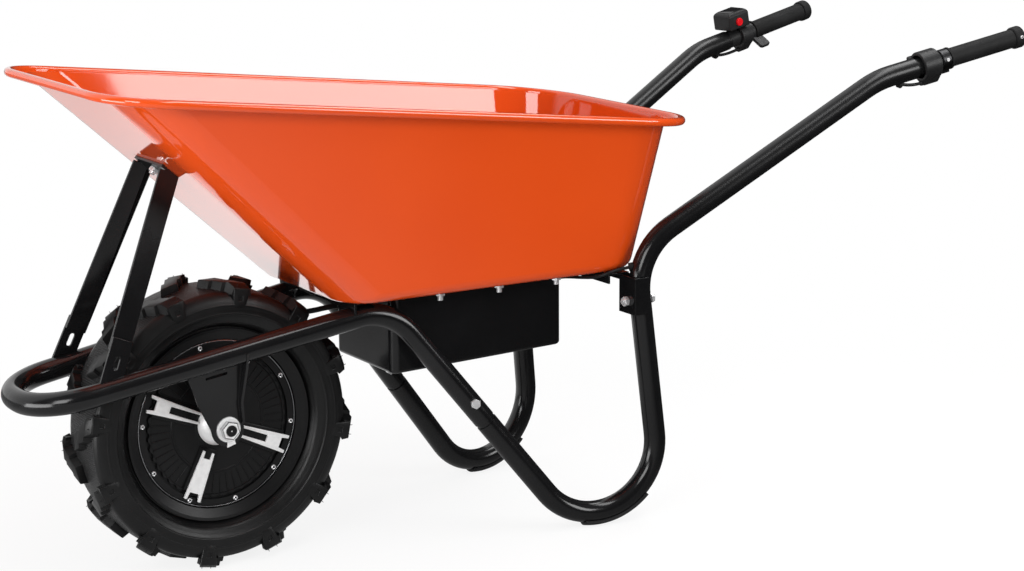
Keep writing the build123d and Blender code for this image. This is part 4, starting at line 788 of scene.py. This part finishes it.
def makeCord(name, points, diameter, node):
    curve = bpy.data.curves.new(name, "CURVE")
    curve.dimensions = "3D"
    curve.bevel_depth = diameter / 2
    curve.bevel_resolution = 4
    curve.resolution_u = 10
    curve.use_fill_caps = True
    line = curve.splines.new("NURBS")
    line.points.add(len(points) - 1)
    placed = [toFrame @ Vector(point) for point in points]
    for spot, place in zip(line.points, placed):
        spot.co = (*place, 1)
    line.order_u = 3
    line.use_endpoint_u = True
    curve.materials.append(looks["cable_black"])
    piece = bpy.data.objects.new(name, curve)
    scene.collection.objects.link(piece)
    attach(piece, "frame")
    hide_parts(node)


def makeControlCords(c):
    both = c["controls"]
    x, y, z = both["gland"]
    for key in controlCords:
        own = c[key]
        bar = own["bar"]
        points = [bar.at(own["start"], -own["drop"])]
        points += [bar.at(*spot) for spot in both["belowBar"]]
        points += [bar.bend - bar.handle * both["pastBend"], bar.saddle + bar.handle * both["aboveSaddle"]]
        points += [bar.fromSaddle(*offset) for offset in both["fromSaddle"]]
        points += [(x, bar.side * y, z), (x - both["inside"], bar.side * y, z)]
        makeCord(key + "Cord", points, both["diameter"], own["node"])


def makeCordNecks(c):
    # short sleeves that hold each cord where it leaves its control
    necks = Shape()
    for key in controlCords:
        own = c[key]
        neck = Shape()
        neck.spin(c["controls"]["neck"], c["controls"]["neckTurns"], closed=False)
        necks.join(neck, [own["bar"].lay() @ Matrix.Translation((-own["drop"], 0, own["start"]))])
    finishPiece(necks, "cordNecks", "control_plastic", "frame")


def makeMotorCord(c):
    points = c["fromAxle"] + [Vector(c["gland"]) + Vector(offset) for offset in c["atGland"]]
    makeCord("motorCord", points, c["diameter"], c["node"])


makeControlCords(cordSpec)
makeCordNecks(cordSpec)
makeMotorCord(cordSpec["motor"])
print("cords done")

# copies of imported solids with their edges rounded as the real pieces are
copying = {"weld": 0.004, "flat": 1.0, "sharper": 30}  # mm, degrees, degrees
rounding = {  # node: (edge radius in mm, segments)
    "grip_collar": (0.8, 2), "grip_end_caps": (2.6, 3), "grip_left": (1.2, 2), "grip_right": (1.2, 2),
    "direction_rocker": (0.8, 2), "power_button": (1.4, 3), "front_brace": (0.6, 2), "brace_tabs": (0.6, 2),
    "front_bridge": (0.6, 2), "rear_cross_member": (0.5, 2), "battery_box": (0.7, 2),
    "dropout_left": (0.6, 2), "dropout_right": (0.6, 2), "tab_washers": (0.4, 2),
    "leg_joint_bolts": (0.6, 2), "leg_joint_nuts": (0.5, 2), "brace_bolt": (0.5, 2), "brace_nut": (0.5, 2),
    "saddle_bolts": (0.5, 2), "saddle_nuts": (0.5, 2), "cable_glands": (0.6, 2), "cable_grommets": (0.5, 2),
}
ownBody = ("direction_rocker", "power_button")  # these ride on a body of their own name


def nodeShape(name):
    shape = Shape()
    node = nodes[name]
    mesh = node.data.copy()
    mesh.transform(toFrame.inverted() @ node.matrix_world)
    shape.bm.from_mesh(mesh)
    bpy.data.meshes.remove(mesh)
    bmesh.ops.remove_doubles(shape.bm, verts=shape.bm.verts, dist=copying["weld"])
    flat = {"angle_limit": radians(copying["flat"]), "use_dissolve_boundaries": False}
    bmesh.ops.dissolve_limit(shape.bm, verts=shape.bm.verts, edges=shape.bm.edges, **flat)
    shape.square()
    return shape


def evenShading(piece):
    # flat faces stay flat beside their rounded edges
    piece.modifiers.new("faceWeights", "WEIGHTED_NORMAL").keep_sharp = True


def camel(name):
    first, *rest = name.split("_")
    return first + "".join(word.capitalize() for word in rest)


for name, (width, segments) in rounding.items():
    soft = nodeShape(name)
    soft.softenAll(width, segments, copying["sharper"])
    body = name if name in ownBody else "frame"
    evenShading(finishPiece(soft, camel(name) + "Soft", slotOf[name], body, [name], copying["sharper"]))
print("rounded copies:", len(rounding))


# the hand controls are drawn on the bar: X up, Y inboard, Z along it, from the bend of the tube
def lobe(ringRadius, drop, radius, top):
    # outline of the small boss below a ring, tangent to both, from the height given down
    steps, sunk = 12, 0.4
    lean = asin((ringRadius - radius) / drop)
    points = []
    for k in range(steps + 1):
        angle = lean + (pi - 2 * lean) * k / steps + pi / 2
        points.append((-drop + radius * cos(angle), radius * sin(angle)))
    half = (ringRadius - sunk - top * sin(lean)) / cos(lean)
    return [(-top, half)] + points + [(-top, -half)]


def rolled(radius, first, last, edge):
    # the outside of a ring with both rims rounded: edge holds (depth, distance from the end)
    return ([(radius - depth, first + along) for depth, along in edge]
            + [(radius - depth, last - along) for depth, along in edge[::-1]])


def runsAlong(edge, axis):
    start, end = edge.verts
    return abs(getattr(start.co, axis) - getattr(end.co, axis)) > slack


barRadius = 11.25
partEdge = {"width": 1.2, "sharper": 50, "shading": 35}

throttleSpec = {
    "box": (18.0, 47.4, 20.0, 62.0, 108.0),  # low, high, half width, start, end
    "crownRadius": 7.0, "crownSegments": 5, "edge": 2.6,
    "ring": (90.0, 114.0, 20.0), "ringEdge": [(1.5, 0.0), (0.4, 0.5), (0.0, 1.6)], "turns": 64,
    "neck": (67.0, 14.6), "neckEdge": 1.0, "neckJoint": 0.5,
    "bossDrop": 22.0, "bossRadius": 5.0, "bossTop": 13.0, "bossInset": 0.4,
    "window": (68.0, 102.0, 14.0, 47.95), "windowThick": 1.5, "windowEdge": 0.4,
    "lever": (114.4, 123.4, 17.0), "leverEdge": [(1.2, 0.0), (0.0, 1.2)], "leverPlay": 0.2,
    "paddle": (15.0, 40.0, 136.4, 3.0), "paddleRoot": 19.0, "paddleDrop": 35.0,
    "paddleCorner": 5.0, "paddleEdge": 1.4,
}


def makeThrottle(t):
    low, high, half, start, end = t["box"]
    body = Shape()
    body.prism([(low, -half), (high, -half), (high, half), (low, half)], start, end)
    crown = [e for e in body.bm.edges if all(v.co.x > high - slack for v in e.verts)]
    body.soften(crown, t["crownRadius"], t["crownSegments"])
    body.softenAll(t["edge"], segments=3, sharper=partEdge["sharper"])
    first, last, radius = t["ring"]
    neckStart, neckRadius = t["neck"]
    bevel = t["neckEdge"]
    neck = [(barRadius, neckStart), (neckRadius - bevel, neckStart), (neckRadius, neckStart + bevel),
            (neckRadius, first + t["neckJoint"])]
    ring = Shape()
    ring.spin(neck + rolled(radius, first, last, t["ringEdge"]) + [(barRadius, last)], t["turns"])
    boss = Shape()
    outline = lobe(radius, t["bossDrop"], t["bossRadius"], t["bossTop"])
    boss.prism(outline, first + t["bossInset"], last - t["bossInset"])
    boss.softenAll(partEdge["width"], sharper=partEdge["sharper"])
    housing = finishPiece(onBar(rightBar, body, ring, boss), "throttleHousing", "control_plastic", "frame",
                          ["throttle_housing"], partEdge["shading"])
    evenShading(housing)

    first, last, half, top = t["window"]
    under = top - t["windowThick"]
    window = Shape()
    window.prism([(under, -half), (top, -half), (top, half), (under, half)], first, last)
    window.softenAll(t["windowEdge"], sharper=partEdge["sharper"])
    finishPiece(onBar(rightBar, window), "displayWindow", "display_dark", "frame", ["display_window"])

    first, last, radius = t["lever"]
    bore = barRadius + t["leverPlay"]
    lever = Shape()
    lever.spin([(bore, first), *rolled(radius, first, last, t["leverEdge"]), (bore, last)], t["turns"])
    inner, outer, far, thick = t["paddle"]
    root = t["paddleRoot"]
    paddle = Shape()
    outline = [(inner, first), (outer, first), (outer, far), (root, far), (root, last), (inner, last)]
    paddle.prism(outline, -thick, thick)
    corners = [e for e in paddle.bm.edges if runsAlong(e, "z") and e.verts[0].co.x > outer - slack]
    paddle.soften(corners, t["paddleCorner"], segments=4)
    paddle.softenAll(t["paddleEdge"], segments=3, sharper=partEdge["sharper"])
    # the paddle's plane holds the bar; it leaves on the inboard side, lowered
    tilt = turned(90 + t["paddleDrop"])
    stand = Matrix(((1, 0, 0, 0), (0, 0, -1, 0), (0, 1, 0, 0), (0, 0, 0, 1)))
    lever.join(paddle, [tilt @ stand])
    thumb = finishPiece(onBar(rightBar, lever), "throttleLever", "control_plastic", "throttle_lever",
                        ["throttle_lever"], partEdge["shading"])
    evenShading(thumb)


makeThrottle(throttleSpec)

switchSpec = {
    "ring": (74.0, 104.0, 23.0), "ringEdge": [(1.6, 0.0), (0.5, 0.5), (0.0, 1.6)], "turns": 72,
    "recess": (18.0, 20.0), "recessEdge": 0.8, "sleeve": (66.4, 13.0),
    "bossDrop": 25.0, "bossRadius": 5.0, "bossTop": 19.0, "bossInset": 0.3,
    "bossSlope": 4.0, "slopeBelow": 1.0,
    "block": (13.0, 12.0, 32.0), "blockEdge": 3.0,  # half height, inner and outer side
    "pocket": (10.3, 6.3, 5.0), "pocketInset": 1.0, "pocketDraft": 0.1,  # half height, half length, depth
}


def makeSwitch(s):
    first, last, radius = s["ring"]
    hollow, depth = s["recess"]
    sleeveStart, sleeve = s["sleeve"]
    floor, rim = first + depth, s["recessEdge"]
    inside = [(barRadius, sleeveStart), (sleeve, sleeveStart), (sleeve, floor), (hollow, floor),
              (hollow, first + rim), (hollow + rim, first)]
    ring = Shape()
    ring.spin(inside + rolled(radius, first, last, s["ringEdge"]) + [(barRadius, last)], s["turns"])
    boss = Shape()
    outline = lobe(radius, s["bossDrop"], s["bossRadius"], s["bossTop"])
    boss.prism(outline, first + s["bossInset"], last - s["bossInset"])
    for v in boss.bm.verts:  # the lower end slopes back
        if v.co.z < first + s["bossInset"] + slack and v.co.x < s["slopeBelow"] - s["bossDrop"]:
            v.co.z += s["bossSlope"]
    boss.softenAll(partEdge["width"], sharper=partEdge["sharper"])
    high, near, far = s["block"]
    block = Shape()
    block.prism([(-high, near), (high, near), (high, far), (-high, far)], first, last)
    outer = [e for e in block.bm.edges if all(v.co.y > far - slack for v in e.verts)]
    outer += [e for e in block.bm.edges if runsAlong(e, "y")]
    block.soften(list(set(outer)), s["blockEdge"], segments=3)
    # a pocket for the rocker
    face = max(block.bm.faces, key=lambda f: f.calc_center_median().y)
    bmesh.ops.inset_individual(block.bm, faces=[face], thickness=s["pocketInset"])
    tall, long, deep = s["pocket"]
    middle = (first + last) / 2
    for v in face.verts:
        v.co.x = tall if v.co.x > 0 else -tall
        v.co.z = middle + (long if v.co.z > middle else -long)
    bmesh.ops.inset_individual(block.bm, faces=[face], thickness=s["pocketDraft"], depth=-deep)
    housing = finishPiece(onBar(leftBar, ring, boss, block), "switchHousing", "control_plastic", "frame",
                          ["switch_housing"], partEdge["shading"])
    evenShading(housing)


makeSwitch(switchSpec)

# small screws that clamp the grip's collar and end cap, heads facing outboard
screwSpec = {
    "head": [(0, -2.0), (2.7, -2.0), (2.7, 0.5), (2.1, 1.0), (1.3, 1.0), (1.3, 0.2), (0, 0.2)], "turns": 24,
    "lift": 2.0, "places": [(118.0, 16.5), (254.5, 16.2)],  # along the bar, out from it
}


def makeGripScrews(s):
    head = Shape()
    head.spin(s["head"], s["turns"], closed=False)
    outboard = Matrix.Rotation(radians(90), 4, "X")
    spots = [Matrix.Translation((s["lift"], -out, along)) for along, out in s["places"]]
    heads = Shape().join(head, [spot @ outboard for spot in spots])
    finishPiece(onBar(leftBar, heads), "gripScrews", "zinc_steel", "frame", paint=spokeSilver)


makeGripScrews(screwSpec)
print("controls done")


# studio: white floor that keeps a soft shadow near the object, white world, soft boxes
studio = {
    "floorSize": 30.0,
    "floorDrop": 0.0004,
    "bounceShade": (0.55, 0.55, 0.55),
    "seenShade": (0.97, 0.97, 0.97),
    "shadowShare": 0.16,
    "shadowFade": (0.7, 1.3),
    # what a shiny surface sees of the floor: a bright field behind the object and one on its left
    "mirrored": {"back": 1.0, "backFrom": (0.1, 0.6), "backFade": (1.0, 1.8), "fadeShare": 0.25,
                 "backLeft": (-0.72, -0.56), "leftLeast": 0.25, "backRight": (0.0, 0.35),
                 "left": 0.45, "leftTo": (-0.4, 0.5), "least": 0.03},
    # and what it sees of the world
    "sky": {"back": 0.9, "backFrom": (0.0, 0.3), "backTo": (0.37, 0.43), "up": 0.15, "upFrom": (0.4, 0.8),
            "least": 0.04},
    "fill": 0.55,
    "boxes": {
        "keyRight": {"at": (2.07, -3.0, 1.7), "look": (0.0, 0.1, 0.6), "size": (1.9, 1.2), "watts": 52},
        "topBox": {"at": (1.1, -0.6, 3.3), "look": (0.2, 0, 0.3), "size": (3.6, 0.8), "watts": 52},
        "leftBox": {"at": (-3.2, -2.4, 1.9), "look": (-0.3, 0, 0.4), "size": (1.6, 1.8), "watts": 58},
        "lowLeft": {"at": (-2.0, -0.2, 0.2), "look": (-0.5, 0, 0.55), "size": (1.2, 0.8), "watts": 20},
    },
}
pureWhite = shade((1, 1, 1))


class Studio(Paint):
    def __init__(self, tree):
        self.tree = tree

    def ray(self, kind):
        return self.add("ShaderNodeLightPath", {}, {}, kind)

    def white(self, inside, share, mirrored):
        # the camera sees white, and a shiny surface sees the level given
        camera, glossy = self.ray("Is Camera Ray"), self.ray("Is Glossy Ray")
        clear = self.ray("Is Transmission Ray")
        level = (camera + clear) * (1 - glossy) + glossy * mirrored
        glow = self.add("ShaderNodeEmission", {}, {"Color": pureWhite, "Strength": level})
        return self.add("ShaderNodeMixShader", {}, {0: camera * share + glossy + clear, 1: inside, 2: glow})

    def show(self, surface, output):
        self.tree.links.new(surface.socket, self.tree.nodes[output].inputs["Surface"])


def makeFloor(s):
    bm = bmesh.new()
    bmesh.ops.create_grid(bm, x_segments=1, y_segments=1, size=s["floorSize"] / 2)
    mesh = bpy.data.meshes.new("studioFloor")
    bmesh.ops.translate(bm, vec=(0, 0, -s["floorDrop"]), verts=bm.verts)
    bm.to_mesh(mesh)
    bm.free()
    floor = bpy.data.objects.new("studioFloor", mesh)
    scene.collection.objects.link(floor)
    paint = Paint("studioFloor", {"Roughness": 0.9, "Specular IOR Level": 0.0})
    shop = Studio(paint.tree)
    seen = shop.ray("Is Camera Ray")
    paint.feed("Base Color", paint.mix(seen, shade(s["bounceShade"]), shade(s["seenShade"])))
    x, y, _ = shop.axes(shop.place())
    away = (x * x + y * y).root().smooth(*s["shadowFade"])
    share = away * s["shadowShare"] + (1 - s["shadowShare"])
    m = s["mirrored"]
    back = y.smooth(*m["backFrom"]) * (1 - y.smooth(*m["backFade"]) * m["fadeShare"])
    back = back * (x.smooth(*m["backLeft"]) * (1 - m["leftLeast"]) + m["leftLeast"])
    back = back * (1 - x.smooth(*m["backRight"]))
    left = (1 - x.smooth(*m["leftTo"])) * (1 - y.smooth(*m["backFrom"])) * m["left"]
    inside = Wire(shop, paint.shader.outputs[0])
    shop.show(shop.white(inside, share, back * m["back"] + left + m["least"]), "Material Output")
    mesh.materials.append(paint.material)


def makeWorld(s):
    world = bpy.data.worlds.new("studioWorld")
    scene.world = world
    world.use_nodes = True
    shop = Studio(world.node_tree)
    fill = world.node_tree.nodes["Background"]
    fill.inputs["Color"].default_value = pureWhite
    fill.inputs["Strength"].default_value = s["fill"]
    x, y, z = shop.axes(shop.add("ShaderNodeTexCoord", {}, {}, "Generated"))
    m = s["sky"]
    back = y.smooth(*m["backFrom"]) * (1 - x.smooth(*m["backTo"])) * m["back"]
    mirrored = back + z.smooth(*m["upFrom"]) * m["up"] + m["least"]
    shop.show(shop.white(Wire(shop, fill.outputs[0]), 1.0, mirrored), "World Output")


def makeLamps(s):
    for name, box in s["boxes"].items():
        data = bpy.data.lights.new(name, "AREA")
        data.shape = "RECTANGLE"
        data.size, data.size_y = box["size"]
        data.energy = box["watts"]
        lamp = bpy.data.objects.new(name, data)
        aim = Vector(box["look"]) - Vector(box["at"])
        turn = aim.to_track_quat("-Z", "Y").to_matrix().to_4x4()
        lamp.matrix_world = Matrix.Translation(box["at"]) @ turn
        lamp.visible_camera = False
        scene.collection.objects.link(lamp)


makeFloor(studio)
makeWorld(studio)
makeLamps(studio)
print("studio ready")
